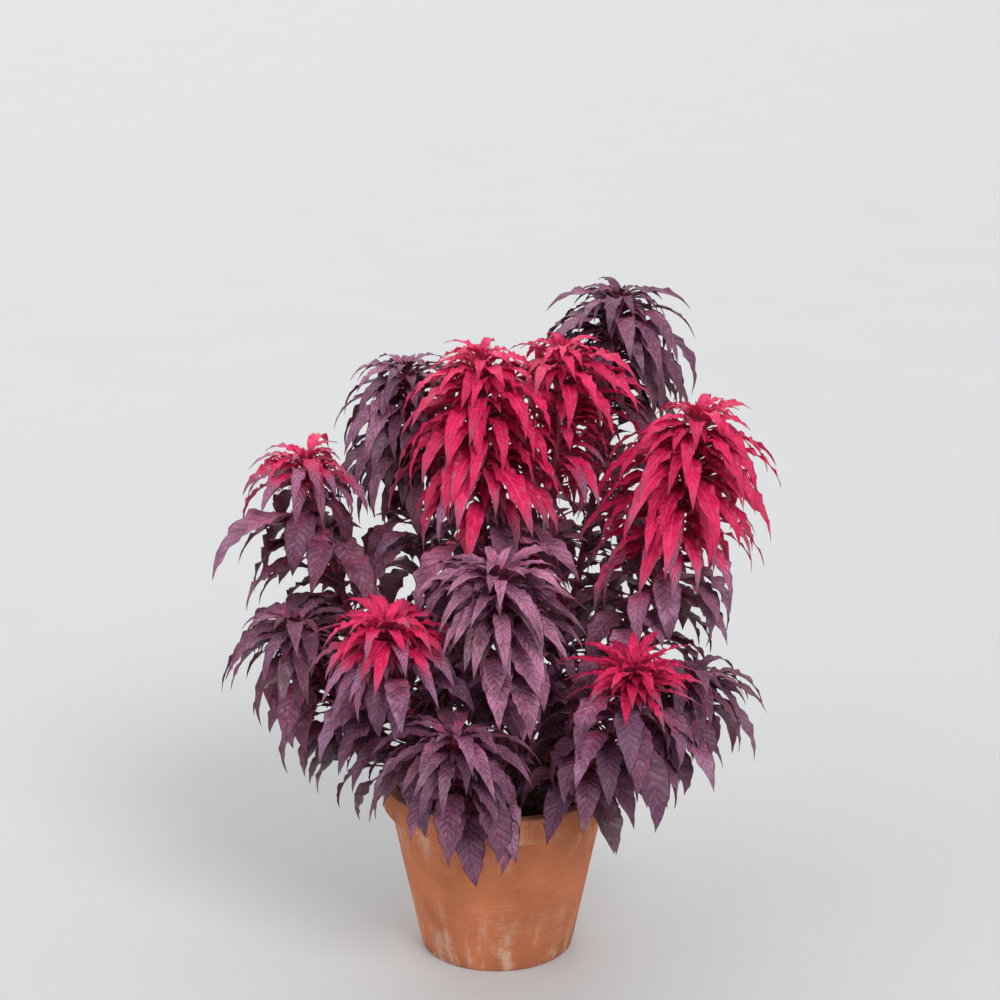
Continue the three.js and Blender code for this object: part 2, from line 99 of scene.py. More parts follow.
# The leaves' forms: petiole and blade, width as a share of length, slope at the stem and bend to the tip
GOLDEN_ANGLE = 137.5
TUFT = {"petiole": 8, "length": 62, "slender": 0.26, "rise": 72, "bend": 110}
ARCH = {"petiole": 28, "length": 165, "slender": 0.21, "rise": 50, "bend": 138}
LOW = {"petiole": 48, "length": 142, "slender": 0.38, "rise": 38, "bend": 122}
TUFT_SHARE, ARCH_FIRST_RISE, ARCH_SPACING, ARCH_END = 0.34, 68, 1.15, 0.96
LOW_FIRST, LOW_FROM, LOW_SIZES = 0.35, 0.14, (1.12, 0.86)
SPREAD = {"heading": 12, "length": 0.14, "petiole": 0.25, "slender": 0.12, "rise": 11, "bend": 14,
          "sway": 0.13, "roll": 26}
PETIOLE_BEND_SHARE, PETIOLE_RADIUS, BLADE_FOLD, WIDEST_POWER, EDGE_WAVE = 0.22, 1.6, 0.24, 0.66, 0.2

# Leaves are turned either way, drooped or shortened until they are clear of the other stems and their leaves.
SEED, DRAW_FACTOR, DRAW_MODULUS, CELL, SAMPLE_STEP = 20261, 16807, 2 ** 31 - 1, 10, 5
SPACE_LOW, CELLS = np.array([-640.0, -560.0, 0.0]), (128, 112, 124)
ROOT_FREE, FLOOR_CLEAR, POT_CLEAR, SOIL_CLEAR, OFFER_COST, CROWDING_COST = 34, 30, 9, 6, 0.04, 3
ONE_WAY_OFFERS = [
    (0, 0, 1), (14, 0, 1), (0, -16, 1), (28, 8, 1), (0, 18, 0.9), (42, -10, 0.9), (20, -28, 0.85),
    (56, 10, 0.8), (0, -36, 0.72), (34, 22, 0.72), (70, -18, 0.7), (95, 0, 0.8), (130, -10, 0.75),
    (180, 0, 0.7), (0, 30, 0.6), (60, 20, 0.55), (110, 20, 0.55), (160, 20, 0.55),
]
OFFERS = [(way * turned, drooped, size) for turned, drooped, size in ONE_WAY_OFFERS
          for way in ((1, -1) if 0 < turned < 180 else (1,))]

# The leaves that fill in: how many to a plain leaf, place of the first, turn in golden angles and size
FILL_TOP, FILL_LOW = (3.0, 0.9, 0.37, 0.9), (2.4, 0.1, 0.61, 0.8)
FILL_CROWDING, FILL_OFFERS = 0.5, 14

# The buds at a stem's tip, with the first one's and the last one's size
BUD = {"petiole": 3, "length": 30, "slender": 0.32, "rise": 76, "bend": 42}
BUDS, BUDS_DOWN_TO, BUD_SIZES = 9, 0.985, (0.6, 1.25)

# The small leaves in a leaf's axil: form, turns from a plain leaf and from one that fills in, size with its
# spread, spread of the turn, and the least age of a leaf that has them
SPRIG = ({"petiole": 12, "length": 52, "slender": 0.42, "rise": 50, "bend": 78},
         (-55, -18, 20, 58), (-26,), (0.95, 0.45), 20, 0)
INNER = ({"petiole": 18, "length": 72, "slender": 0.32, "rise": 44, "bend": 108},
         (66, -70), (66,), (0.9, 0.25), 30, 0.12)

# The finer form of a blade: powers and shares of its width and length, and waves along its margin
OUTLINE_POWER, BLADE_STARTS, PETIOLE_TAPER, FOLD_POWER, EDGE_POWER = 1.15, 0.09, (1.25, 0.85), 1.3, 1.5
WAVE_UP_AT, WAVE_LENGTH, RIPPLES, SECOND_RIPPLE, SCALLOPS, SCALLOP = 0.26, 0.72, (5.6, 1.4), 1.73, 0.9, 0.06
RIPPLE_POWER, RIB_WIDTH, RIB_GROOVE, MARGIN_THICKNESS = 0.4, 0.3, 0.35, 0.35

# The patterns of a plain leaf, one that fills in and a small one: sides, petiole rings and blade rings
LARGE, FILLING, SMALL = (12, 5, 22), (10, 4, 16), (6, 3, 8)
PATTERN_WIDTH, PATTERN_THICKNESS, RING_SPACING_POWER, LEAF_SEED = 0.3, 0.03, 1.12, 4177

# How crinkled the margins are, as shares of a crimson blade's crinkle, and the small leaves' own crinkles
PLUM_CRINKLE, LOW_CRINKLE, BUD_CRINKLE, INNER_CRINKLE, SPRIG_CRINKLE = 0.6, 0.45, 0.1, 0.14, 0.12

# The flower clusters
KNOBS, KNOB_SIZE, KNOB_PLACE, KNOB_PUSH = 13, (0.42, 0.06), 0.6, 0.12
CLUSTER_SIZE, CLUSTER_SEED = (6.2, 2.4), 9029
CLUSTER_OUT, CLUSTER_UP, CLUSTER_TURN = 3, 7, 0.5

# The tinge of a stem's plum leaves, from -1, pale rose, through 0, dusky plum, to 1, dark wine
# Painted light and shade too: paler leaves on centre_left and centre_right, under the crowns, darker on
# far_left and low_left
TINGE = {"back_right": 0.45, "back_left": -0.2, "centre_left": -0.8, "centre_right": -0.65, "right": -0.4,
         "far_left": 0.55, "front_centre": -1, "low_left": 0.6, "low_back": 0.5, "low_front": -0.25,
         "front_right": 0}
USUAL_TINGE, TINGE_SPREAD = 0.12, 0.22

# How far the crimson of a fountain has turned plum, from 0, not at all, to 1
TURNED = {"far_left": 0.6, "front_left": 0.4, "centre_right": 0.2}
USUAL_TURNED = 0.1

# The studio: each light's place, the width of its glow in degrees and its share of the main light's strength
LIGHTS = {"key_light": ((1.7, -3.0, 3.0), 26, 1), "fill_light": ((-3.0, -2.0, 1.8), 60, 0.42),
          "back_light": ((-0.9, 3.0, 2.8), 50, 0.5)}
SKY_COLOUR, SKY_STRENGTH = (0.93, 0.96, 1.0, 1), 0.85
FLOOR_SIDES, FLOOR_RADIUS, FLOOR_DEPTH, SENSOR_WIDTH, VIEW_DEPTH = 96, 120000, 60, 36, 100

# How far the picture's middle stands right of and above the soil's middle, as shares of the picture's width
MIDDLE_RIGHT, MIDDLE_UP = 0.003, 0.292


# Colours and sizes that a user would change

def colour(name, description, value):
    return bpy.props.FloatVectorProperty(name=name, description=description, default=value, subtype="COLOR",
                                         size=3, min=0, max=1)


def length(name, description, value):
    return bpy.props.FloatProperty(name=name, description=description, default=value, unit="LENGTH",
                                   subtype="DISTANCE", min=0)


def share(name, description, value):
    return bpy.props.FloatProperty(name=name, description=description, default=value, subtype="FACTOR",
                                   min=0, max=1)


class LeafSettings(bpy.types.PropertyGroup):
    crimson: colour("Crimson", "Colour of the fountain leaves", (0.84, 0.006, 0.098))
    # Paler colour of the midribs, veins and undersides, also used for painted highlights and glints
    crimson_pale_and_highlight: colour("Crimson light", "Colour of their midribs, margins and shine", (0.95, 0.10, 0.27))
    # Painted shade, and the darker tone of some leaves
    crimson_dark: colour("Crimson dark", "Colour of their shaded folds", (0.52, 0.004, 0.062))
    plum: colour("Plum", "Colour of the lower leaves", (0.160, 0.057, 0.122))
    rosy: colour("Rosy plum", "Colour of the lower leaves that are redder", (0.232, 0.060, 0.104))
    # Pale violet painted sheen and painted highlights
    painted_lilac_sheen: colour("Lilac", "Colour of the lower leaves' raised parts", (0.380, 0.215, 0.345))
    flush: colour("Flush", "Colour at the foot of the younger lower leaves", (0.560, 0.020, 0.115))
    # The veins' own dark colour, also used for painted shade in dark patches and between raised parts
    plum_deep: colour("Deep plum", "Colour of the lower leaves' veins and grooves", (0.075, 0.023, 0.049))
    plum_green: colour("Green plum", "Colour of the oldest leaves", (0.085, 0.065, 0.055))
    wine: colour("Wine", "Colour of the darkest lower leaves", (0.155, 0.025, 0.058))
    pale: colour("Pale rose", "Colour of the palest lower leaves", (0.60, 0.215, 0.36))
    midrib: colour("Midrib", "Colour of the lower leaves' midribs, margins and petioles", (0.42, 0.045, 0.13))
    thickness: length("Thickness", "Half the blade's thickness at its midrib", 0.00055)
    rib: length("Rib", "How far the midrib stands out below the blade", 0.0011)
    vein_depth: length("Vein depth", "Depth of the veins in the blade's surface", 0.0011)
    crinkle: share("Crinkle", "Height of the margin's small waves as a share of the blade's half width", 0.24)


class StemSettings(bpy.types.PropertyGroup):
    ridge: colour("Ridge", "Colour of the stem's ridges", (0.36, 0.03, 0.085))
    groove: colour("Groove", "Colour of the stem's grooves", (0.15, 0.035, 0.05))
    flower: colour("Flowers", "Colour of the flower clusters in the axils", (0.24, 0.035, 0.06))
    flower_green: colour("Young flowers", "Colour of the clusters' green parts", (0.13, 0.085, 0.045))
    ridge_height: share("Ridge height", "Height of the ridges as a share of the stem's radius", 0.07)
    swelling: share("Swelling", "How much thicker the stem is at a leaf", 0.2)


class PotSettings(bpy.types.PropertyGroup):
    clay: colour("Clay", "Colour of the fired clay", (0.50, 0.155, 0.065))
    clay_dark: colour("Damp clay", "Colour of the clay where it is damp", (0.27, 0.082, 0.038))
    bloom: colour("Lime bloom", "Colour of the pale bloom on the clay", (0.62, 0.42, 0.31))
    line_depth: length("Turning lines", "Depth of the turning lines", 0.0007)


class SoilSettings(bpy.types.PropertyGroup):
    soil: colour("Soil", "Colour of the potting soil", (0.030, 0.018, 0.012))
    bark: colour("Bark", "Colour of the bark bits", (0.13, 0.06, 0.03))
    grit: colour("Grit", "Colour of the pale grit", (0.62, 0.58, 0.50))
    lumps: length("Lumps", "Height of the soil's lumps", 0.0035)
    crumbs: bpy.props.IntProperty(name="Crumbs", description="Number of crumbs, bark bits and grit", min=0,
                                  default=560)


class StageSettings(bpy.types.PropertyGroup):
    floor: colour("Floor", "Colour of the floor", (0.495, 0.492, 0.485))
    elevation: bpy.props.FloatProperty(name="Elevation", description="The camera's angle above the horizon",
                                       subtype="ANGLE", default=math.radians(15))
    scale: length("Width in view", "Width that the picture shows at the plant", 1.63)
    lens: bpy.props.FloatProperty(name="Lens", description="The camera's focal length in millimetres",
                                  default=80)
    key_power: bpy.props.FloatProperty(name="Key light", description="Strength of the main light",
                                       default=1.75)


# Small helpers

def deselect():
    bpy.ops.object.select_all(action="DESELECT")


def activate(piece):
    deselect()
    piece.select_set(True)
    bpy.context.view_layer.objects.active = piece
    return piece


def edit(piece):
    activate(piece)
    bpy.ops.object.mode_set(mode="EDIT")
    bpy.ops.mesh.select_all(action="SELECT")


def leave_edit():
    bpy.ops.object.mode_set(mode="OBJECT")


def apply_place(piece):
    activate(piece)
    bpy.ops.object.transform_apply(location=True, rotation=True, scale=True)


def apply_modifier(piece, kind, **settings):
    activate(piece)
    modifier = piece.modifiers.new(kind.title(), kind)
    for key, value in settings.items():
        setattr(modifier, key, value)
    bpy.ops.object.modifier_apply(modifier=modifier.name)


def named(piece, name):
    piece.name = name
    piece.data.name = name
    return piece


def corners_of(piece):
    flat = np.empty(len(piece.data.vertices) * 3)
    piece.data.vertices.foreach_get("co", flat)
    return flat.reshape(-1, 3)


def set_corners(piece, corners):
    piece.data.vertices.foreach_set("co", np.ascontiguousarray(corners, dtype=np.float32).ravel())
    piece.data.update()


def add_attribute(piece, name, values):
    """Gives each corner a vector that the finishes read. A single vector is every corner's."""
    layer = piece.data.attributes.new(name, "FLOAT_VECTOR", "POINT")
    vectors = np.broadcast_to(np.asarray(values, dtype=np.float32), (len(piece.data.vertices), 3))
    layer.data.foreach_set("vector", vectors.ravel())


def copy_with(pattern, corners):
    """A copy of a pattern with its own mesh and its own corners."""
    piece = pattern.copy()
    piece.data = pattern.data.copy()
    bpy.context.scene.collection.objects.link(piece)
    set_corners(piece, corners)
    return piece


def join(pieces, name):
    deselect()
    for piece in pieces:
        piece.select_set(True)
    bpy.context.view_layer.objects.active = pieces[0]
    bpy.ops.object.join()
    return named(bpy.context.view_layer.objects.active, name)


def discard(*pieces):
    for piece in pieces:
        bpy.data.objects.remove(piece, do_unlink=True)


def finish_piece(piece, material, replaced=(), smooth=None):
    """Gives a piece its finish and its body, and hides the plain solids that it stands for."""
    piece.data.materials.clear()
    piece.data.materials.append(material)
    activate(piece)
    if smooth is None:
        bpy.ops.object.shade_smooth()
    else:
        bpy.ops.object.shade_smooth_by_angle(angle=smooth)
    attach(piece, BODY)
    if replaced:
        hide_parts(*replaced)


def raised_disc(name, sides, rows):
    """A disc raised through rows of radius and height, in millimetres, by extruding and resizing it."""
    deselect()
    radius, height = rows[0]
    bpy.ops.mesh.primitive_circle_add(vertices=sides, radius=radius * MM, fill_type="NGON",
                                      location=(0, 0, height * MM))
    piece = bpy.context.object
    apply_place(piece)
    edit(piece)
    for wide, high in rows[1:]:
        bpy.ops.mesh.extrude_region_move(TRANSFORM_OT_translate={"value": (0, 0, (high - height) * MM)})
        ratio = wide / radius
        bpy.ops.transform.resize(value=(ratio, ratio, 1), center_override=(0, 0, high * MM))
        radius, height = wide, high
    bpy.ops.mesh.select_all(action="SELECT")
    bpy.ops.mesh.normals_make_consistent(inside=False)
    leave_edit()
    return named(piece, name)


# The plant's rule

class Draws:
    """One seeded row of random numbers, so that the plant grows the same way each time."""

    def __init__(self, seed):
        self.state = seed

    def draw(self):
        self.state = self.state * DRAW_FACTOR % DRAW_MODULUS
        return self.state / DRAW_MODULUS

    def around(self, middle, spread):
        return middle + spread * (2 * self.draw() - 1)


def mix(a, b, part):
    return a + (b - a) * part


def clamp01(value):
    return np.minimum(1, np.maximum(0, value))


def smooth_step(value):
    value = clamp01(value)
    return value * value * (3 - 2 * value)


def stem_points(shoot, along):
    along = np.asarray(along, float)
    leant = along * (1 + STEM_BOW * (1 - along))
    foot, head = shoot["foot"], shoot["head"]
    height = SOIL_LEVEL + head[2] * along
    return np.stack([mix(foot[0], head[0], leant), mix(foot[1], head[1], leant), height], -1)


def fountain_start(shoot):
    return 1 - shoot["fountain"] / shoot["head"][2]


def arc_step(length, start, bend):
    """Steps out and up along an arc that turns down by bend."""
    end = start - bend
    whole = np.where(bend == 0, 1, bend)
    return length / whole * (np.sin(start) - np.sin(end)), length / whole * (np.cos(end) - np.cos(start))


def leaf_frame(leaf, along):
    """Centres, sides and upper normals along a leaf: -1 is its root, 0 its blade's start and 1 its tip."""
    along = np.asarray(along, float)
    out = np.array([math.cos(leaf["heading"]), math.sin(leaf["heading"]), 0.0])
    side = np.array([-out[1], out[0], 0.0])
    up = np.array([0.0, 0.0, 1.0])
    petiole_bend = leaf["bend"] * PETIOLE_BEND_SHARE
    blade_bend = leaf["bend"] - petiole_bend
    petiole_share, blade_share = clamp01(along + 1), clamp01(along)
    slope = leaf["rise"] - petiole_bend * petiole_share - blade_bend * blade_share
    blade_rise = leaf["rise"] - petiole_bend
    out_1, up_1 = arc_step(leaf["petiole"] * petiole_share, leaf["rise"], petiole_bend * petiole_share)
    out_2, up_2 = arc_step(leaf["length"] * blade_share, blade_rise, blade_bend * blade_share)
    sway = leaf["sway"] * leaf["length"] * blade_share * blade_share
    centre = (leaf["root"] + np.multiply.outer(out_1, out) + np.multiply.outer(up_1, up)
              + np.multiply.outer(out_2, out) + np.multiply.outer(up_2, up) + np.multiply.outer(sway, side))
    normal = np.multiply.outer(-np.sin(slope), out) + np.multiply.outer(np.cos(slope), up)
    roll = (leaf["roll"] * blade_share)[..., None]
    return centre, side * np.cos(roll) + normal * np.sin(roll), normal * np.cos(roll) - side * np.sin(roll)


def half_width(leaf, along):
    along = np.maximum(np.asarray(along, float), 0)
    return np.maximum(PETIOLE_RADIUS, leaf["width"] / 2 * np.sin(np.pi * np.power(along, WIDEST_POWER)))


def pot_inside(height):
    return mix(BASE_RADIUS - POT_WALL, RIM_RADIUS - RIM_STEP - POT_WALL, height / POT_HEIGHT)


class Thicket:
    """The cells of space that the stems and leaves take, with a bit for each node that takes one."""

    def __init__(self, reach):
        """Each point takes its own cell and those within reach of it."""
        steps = range(-reach, reach + 1)
        self.near = np.array([(i, j, k) for i in steps for j in steps for k in steps])
        self.takers = np.zeros(CELLS, np.uint32)

    def take(self, points, node):
        cells = np.floor((points - SPACE_LOW) / CELL).astype(int)
        cells = (cells[:, None, :] + self.near[None]).reshape(-1, 3)
        self.takers[cells[:, 0], cells[:, 1], cells[:, 2]] |= np.uint32(node["bit"])

    def blocked(self, points):
        radius = np.hypot(points[:, 0], points[:, 1])
        height = points[:, 2]
        wall = mix(BASE_RADIUS, RIM_RADIUS, clamp01(height / (POT_HEIGHT - RIM_BAND)))
        above_soil = (height > SOIL_LEVEL + SOIL_CLEAR) & (radius < pot_inside(POT_HEIGHT) - POT_CLEAR)
        in_pot = (height < POT_HEIGHT + POT_CLEAR) & (radius < wall + POT_CLEAR)
        return (height < FLOOR_CLEAR) | (in_pot & ~above_soil)

    def crowding(self, points, from_root, node):
        """The share of the points among the node's own leaves, or None if they would cross anything else."""
        if self.blocked(points).any():
            return None
        cells = np.floor((points - SPACE_LOW) / CELL).astype(int)
        here = self.takers[cells[:, 0], cells[:, 1], cells[:, 2]]
        free = from_root > ROOT_FREE
        allowed = np.where(free, node["bit"], node["bit"] | node["partner"]).astype(np.uint32)
        if (here & ~allowed).any():
            return None
        return np.count_nonzero(free & ((here & np.uint32(node["bit"])) > 0)) / len(points)

    def grow_leaf(self, node, wanted, offers=OFFERS, crowding_cost=CROWDING_COST):
        """Adds the leaf in the offered position that is least crowded and nearest its wanted one."""
        best, best_cost = None, math.inf
        for number, (turned, drooped, size) in enumerate(offers):
            if number * OFFER_COST >= best_cost:
                continue
            leaf = dict(wanted, heading=wanted["heading"] + math.radians(turned),
                        rise=wanted["rise"] + math.radians(drooped), petiole=wanted["petiole"] * size,
                        length=wanted["length"] * size, width=wanted["width"] * mix(1, size, 0.5))
            points, from_root = leaf_samples(leaf)
            crowded = self.crowding(points, from_root, node)
            if crowded is None:
                continue
            cost = crowded * crowding_cost + number * OFFER_COST
            if cost < best_cost:
                best, best_cost = (leaf, points), cost
        if best:
            node["leaves"].append(best[0])
            self.take(best[1], node)


def leaf_samples(leaf):
    """Points all over a leaf, with their distance from its root. The edges count as far as they may wave."""
    steps = math.ceil(leaf["petiole"] / SAMPLE_STEP)
    points = [leaf_frame(leaf, np.arange(steps) / steps - 1)[0]]
    from_root = [leaf["petiole"] * np.arange(steps) / steps]
    steps = math.ceil(leaf["length"] / SAMPLE_STEP)
    along = np.arange(steps + 1) / steps
    centre, side, normal = leaf_frame(leaf, along)
    halves = half_width(leaf, along)
    for i, half in enumerate(halves):
        count = math.ceil(2 * half / SAMPLE_STEP)
        offsets = half * (2 * np.arange(count + 1) / count - 1)
        offsets = np.concatenate([offsets[:1], offsets, offsets[-1:]])
        waves = np.zeros(count + 3)
        waves[[0, -2]] = -half * EDGE_WAVE
        waves[[1, -1]] = half * EDGE_WAVE
        raised = np.abs(offsets) * BLADE_FOLD + waves
        points.append(centre[i] + np.outer(offsets, side[i]) + np.outer(raised, normal[i]))
        from_root.append(np.full(count + 3, leaf["petiole"] + leaf["length"] * along[i]))
    return np.concatenate(points), np.concatenate(from_root)


def leaf_from(draws, shoot, along, form, number, size, age):
    heading = math.radians(shoot["turn"] + GOLDEN_ANGLE * number + draws.around(0, SPREAD["heading"]))
    blade = draws.around(form["length"], form["length"] * SPREAD["length"]) * size
    return {
        "root": stem_points(shoot, along), "heading": heading, "length": blade, "age": age,
        "petiole": draws.around(form["petiole"], form["petiole"] * SPREAD["petiole"]),
        "width": blade * draws.around(form["slender"], form["slender"] * SPREAD["slender"]),
        "rise": math.radians(draws.around(form["rise"], SPREAD["rise"])),
        "bend": math.radians(draws.around(form["bend"], SPREAD["bend"])),
        "sway": draws.around(0, SPREAD["sway"]),
        "roll": math.radians(draws.around(0, SPREAD["roll"])),
    }


def fountain_form(shoot, down):
    """The form of a fountain's leaf: short and upright at the tip, then longer and arching over."""
    grown = float(clamp01(down / TUFT_SHARE))
    form = {key: mix(TUFT[key], ARCH[key], grown) for key in ("petiole", "length", "slender", "bend")}
    form["rise"] = mix(TUFT["rise"], mix(ARCH_FIRST_RISE, ARCH["rise"], down), grown)
    form["bend"] *= shoot["droop"]
    return form


@functools.cache
def plants():
    """The plants, grown once: the plain solids' leaves in their order, and then those that fill in."""
    draws, plain, filled, grown = Draws(SEED), Thicket(1), Thicket(0), []
    for i, row in enumerate(SHOOTS):
        stem_bit, fountain_bit = 1 << (2 * i), 1 << (2 * i + 1)
        grown.append({"shoot": dict(zip(SHOOT_KEYS, row)),
                      "stem": {"bit": stem_bit, "partner": fountain_bit, "leaves": []},
                      "fountain": {"bit": fountain_bit, "partner": stem_bit, "leaves": []}})
    for plant in grown:
        shoot = plant["shoot"]
        steps = math.ceil(shoot["head"][2] / SAMPLE_STEP)
        along = np.arange(steps + 1) / steps
        points = stem_points(shoot, along)
        low = along < fountain_start(shoot)
        for thicket in (plain, filled):
            thicket.take(points[low], plant["stem"])
            thicket.take(points[~low], plant["fountain"])

    def fountain(thicket, plant, count, first, turn, size, **rules):
        shoot = plant["shoot"]
        for i in range(count):
            down = (i + first) / count
            along = mix(1, fountain_start(shoot), ARCH_END * down ** ARCH_SPACING)
            form = fountain_form(shoot, down)
            leaf = leaf_from(draws, shoot, along, form, i + turn, shoot["size"] * size, down)
            thicket.grow_leaf(plant["fountain"], leaf, **rules)

    def lower(thicket, plant, count, first, turn, size, **rules):
        shoot = plant["shoot"]
        for i in range(count):
            down = (i + first) / count
            along = mix(fountain_start(shoot), LOW_FROM, down)
            leaf = leaf_from(draws, shoot, along, LOW, i + turn, mix(*LOW_SIZES, down) * size, down)
            thicket.grow_leaf(plant["stem"], leaf, **rules)

    for plant in grown:
        fountain(plain, plant, plant["shoot"]["top"], 0.5, 0, 1)
    for plant in grown:
        lower(plain, plant, plant["shoot"]["low"], LOW_FIRST, plant["shoot"]["top"], 1)
    for plant in grown:
        for node in (plant["stem"], plant["fountain"]):
            node["plain"] = len(node["leaves"])
            for leaf in node["leaves"]:
                filled.take(leaf_samples(leaf)[0], node)

    rules = {"offers": OFFERS[:FILL_OFFERS], "crowding_cost": FILL_CROWDING}
    fills = ((fountain, "top", FILL_TOP), (lower, "low", FILL_LOW))
    for grow, key, (to_each, first, turn, size) in fills:
        for plant in grown:
            count = plant["shoot"][key]
            grow(filled, plant, round(count * to_each), first, count + turn, size, **rules)
    for plant in grown:
        shoot = plant["shoot"]
        plant["buds"] = []
        for i in range(BUDS):
            along, size = mix(1, BUDS_DOWN_TO, i / BUDS), mix(*BUD_SIZES, i / BUDS)
            plant["buds"].append(leaf_from(draws, shoot, along, BUD, i, size, 0))
        plant["sprigs"] = small_leaves(draws, shoot, plant["stem"], 1, *SPRIG)
        plant["inner"] = small_leaves(draws, shoot, plant["fountain"], shoot["size"], *INNER)
    return grown


def small_leaves(draws, shoot, node, scale, form, turns, fill_turns, size, spread, least_age):
    """The small leaves in the axils of a node's leaves."""
    found = []
    for number, leaf in enumerate(node["leaves"]):
        if leaf["age"] < least_age:
            continue
        for turned in turns if number < node["plain"] else fill_turns:
            small = leaf_from(draws, shoot, 0, form, 0, scale * draws.around(*size), leaf["age"])
            small["root"] = leaf["root"]
            small["heading"] = leaf["heading"] + math.radians(draws.around(turned, spread))
            found.append(small)
    return found


# Shader maths as Python expressions

class Field:
    """A socket of a finish. Maths on fields adds Math nodes."""

    def __init__(self, finish, socket):
        self.finish, self.socket = finish, socket

    def maths(self, operation, *values):
        return self.finish.add("ShaderNodeMath", {"operation": operation}, dict(enumerate(values)))

    def __add__(self, other):
        return self.maths("ADD", self, other)

    def __radd__(self, other):
        return self.maths("ADD", other, self)

    def __sub__(self, other):
        return self.maths("SUBTRACT", self, other)

    def __rsub__(self, other):
        return self.maths("SUBTRACT", other, self)

    def __mul__(self, other):
        return self.maths("MULTIPLY", self, other)

    def __rmul__(self, other):
        return self.maths("MULTIPLY", other, self)

    def __pow__(self, other):
        return self.maths("POWER", self, other)

    def __abs__(self):
        return self.maths("ABSOLUTE", self)

    def step(self, low, high):
        """0 below low, 1 above high and smooth between them; the other way round if low is above high."""
        return self.finish.add("ShaderNodeMapRange", {"interpolation_type": "SMOOTHSTEP"},
                               {0: self, 1: low, 2: high, 3: 0.0, 4: 1.0})

    def clamp(self):
        return self.finish.add("ShaderNodeClamp", {}, {0: self})


class Finish:
    """A material that is built node by node."""

    def __init__(self, name):
        self.material = bpy.data.materials.new(name)
        self.material.use_nodes = True
        self.tree = self.material.node_tree
        self.tree.nodes.clear()

    def add(self, kind, settings=None, inputs=None, output=0):
        """Adds a node. Its settings are set first, and then the values or links of its sockets."""
        node = self.tree.nodes.new(kind)
        for key, value in (settings or {}).items():
            setattr(node, key, value)
        for key, value in (inputs or {}).items():
            socket = node.inputs[key]
            if isinstance(value, Field):
                self.tree.links.new(value.socket, socket)
            elif socket.type == "RGBA" and len(value) == 3:
                socket.default_value = (*value, 1)
            else:
                socket.default_value = value
        return Field(self, node.outputs[output]) if node.outputs else None

    def blend(self, factor, a, b):
        """A colour between two. A factor under 0 or over 1 counts as 0 or 1."""
        settings = {"data_type": "RGBA", "clamp_factor": True}
        return self.add("ShaderNodeMix", settings, {0: factor, 6: a, 7: b}, output=2)

    def brighten(self, base, factor):
        """A colour times a number."""
        return self.add("ShaderNodeVectorMath", {"operation": "SCALE"}, {0: base, "Scale": factor})

    def place(self):
        return self.add("ShaderNodeTexCoord", output="Object")

    def parts(self, vector):
        """The three numbers of a vector."""
        first = self.add("ShaderNodeSeparateXYZ", inputs={0: vector})
        return [Field(self, socket) for socket in first.socket.node.outputs]

    def attribute(self, name):
        return self.add("ShaderNodeAttribute", {"attribute_name": name}, output="Vector")

    def mapped(self, vector, scale):
        return self.add("ShaderNodeMapping", inputs={"Vector": vector, "Scale": scale})

    def noise(self, vector, scale, detail=3.0, roughness=0.55):
        return self.add("ShaderNodeTexNoise", inputs={"Vector": vector, "Scale": scale, "Detail": detail,
                                                      "Roughness": roughness}, output="Fac")

    def cells(self, vector, scale, feature="F1"):
        return self.add("ShaderNodeTexVoronoi", {"feature": feature}, {"Vector": vector, "Scale": scale},
                        "Distance")

    def bump(self, height, distance, strength=1.0):
        inputs = {"Height": height, "Distance": distance, "Strength": strength}
        return self.add("ShaderNodeBump", inputs=inputs)

    def surface(self, base, roughness, normal, **constants):
        inputs = {"Base Color": base, "Roughness": roughness, "Normal": normal}
        inputs.update({key.replace("_", " "): value for key, value in constants.items()})
        shader = self.add("ShaderNodeBsdfPrincipled", inputs=inputs)
        self.add("ShaderNodeOutputMaterial", inputs={"Surface": shader})
        return self.material


class LeafFinish(Finish):
    """A blade with a midrib, slanting side veins, a fine net between them and a quilted surface."""

    def __init__(self, name, leaf):
        super().__init__(name)
        self.leaf = leaf
        place = self.place()
        self.along, across, upper = self.parts(self.attribute("leaf_place"))
        self.tone, self.age, self.tinge = self.parts(self.attribute("leaf_kind"))
        self.other = self.tone.maths("PINGPONG", self.tone * 7.0, 1.0)
        self.cloud = self.noise(place, 22.0, 4.0)
        self.patch = self.noise(place, 74.0, 4.0)
        self.speck = self.noise(place, 260.0, 3.0)
        self.side = abs(across)
        self.blade = self.along.step(-0.02, 0.05)
        self.is_upper = upper.step(-0.15, 0.15)
        phase = self.along * 11.0 - self.side * 1.6 + (self.patch - 0.5) * 0.8 + self.tone * 3.0
        from_vein = abs(phase - phase.maths("ROUND", phase))
        self.vein = from_vein.step(0.15, 0.0) * self.side.step(1.05, 0.55) * self.blade
        self.midrib = self.side.step(0.12, 0.0)
        self.net = self.cells(place, 420.0, "DISTANCE_TO_EDGE").step(0.12, 0.0) * self.blade
        self.quilt = ((from_vein * 2.0) ** 0.6 * (1.0 - self.side * 0.5) * self.blade).clamp()

    def blade_surface(self, base, brightness, unevenness, roughness, **constants):
        """A blade's own colours with the petiole's, the leaf's brightness, its relief and its gloss."""
        base = self.blend(1.0 - self.blade, base, self.leaf.midrib)
        base = self.brighten(base, brightness + self.speck * 0.34 + self.other * 0.38)
        sunken = (self.quilt * 0.9 - self.midrib * 0.8 - self.net * 0.12) * (self.is_upper * 2.0 - 1.0)
        normal = self.bump(sunken + self.speck * 0.14 + self.patch * unevenness, self.leaf.vein_depth)
        return self.surface(base, roughness + self.speck * 0.16 - self.quilt * 0.05, normal, **constants)


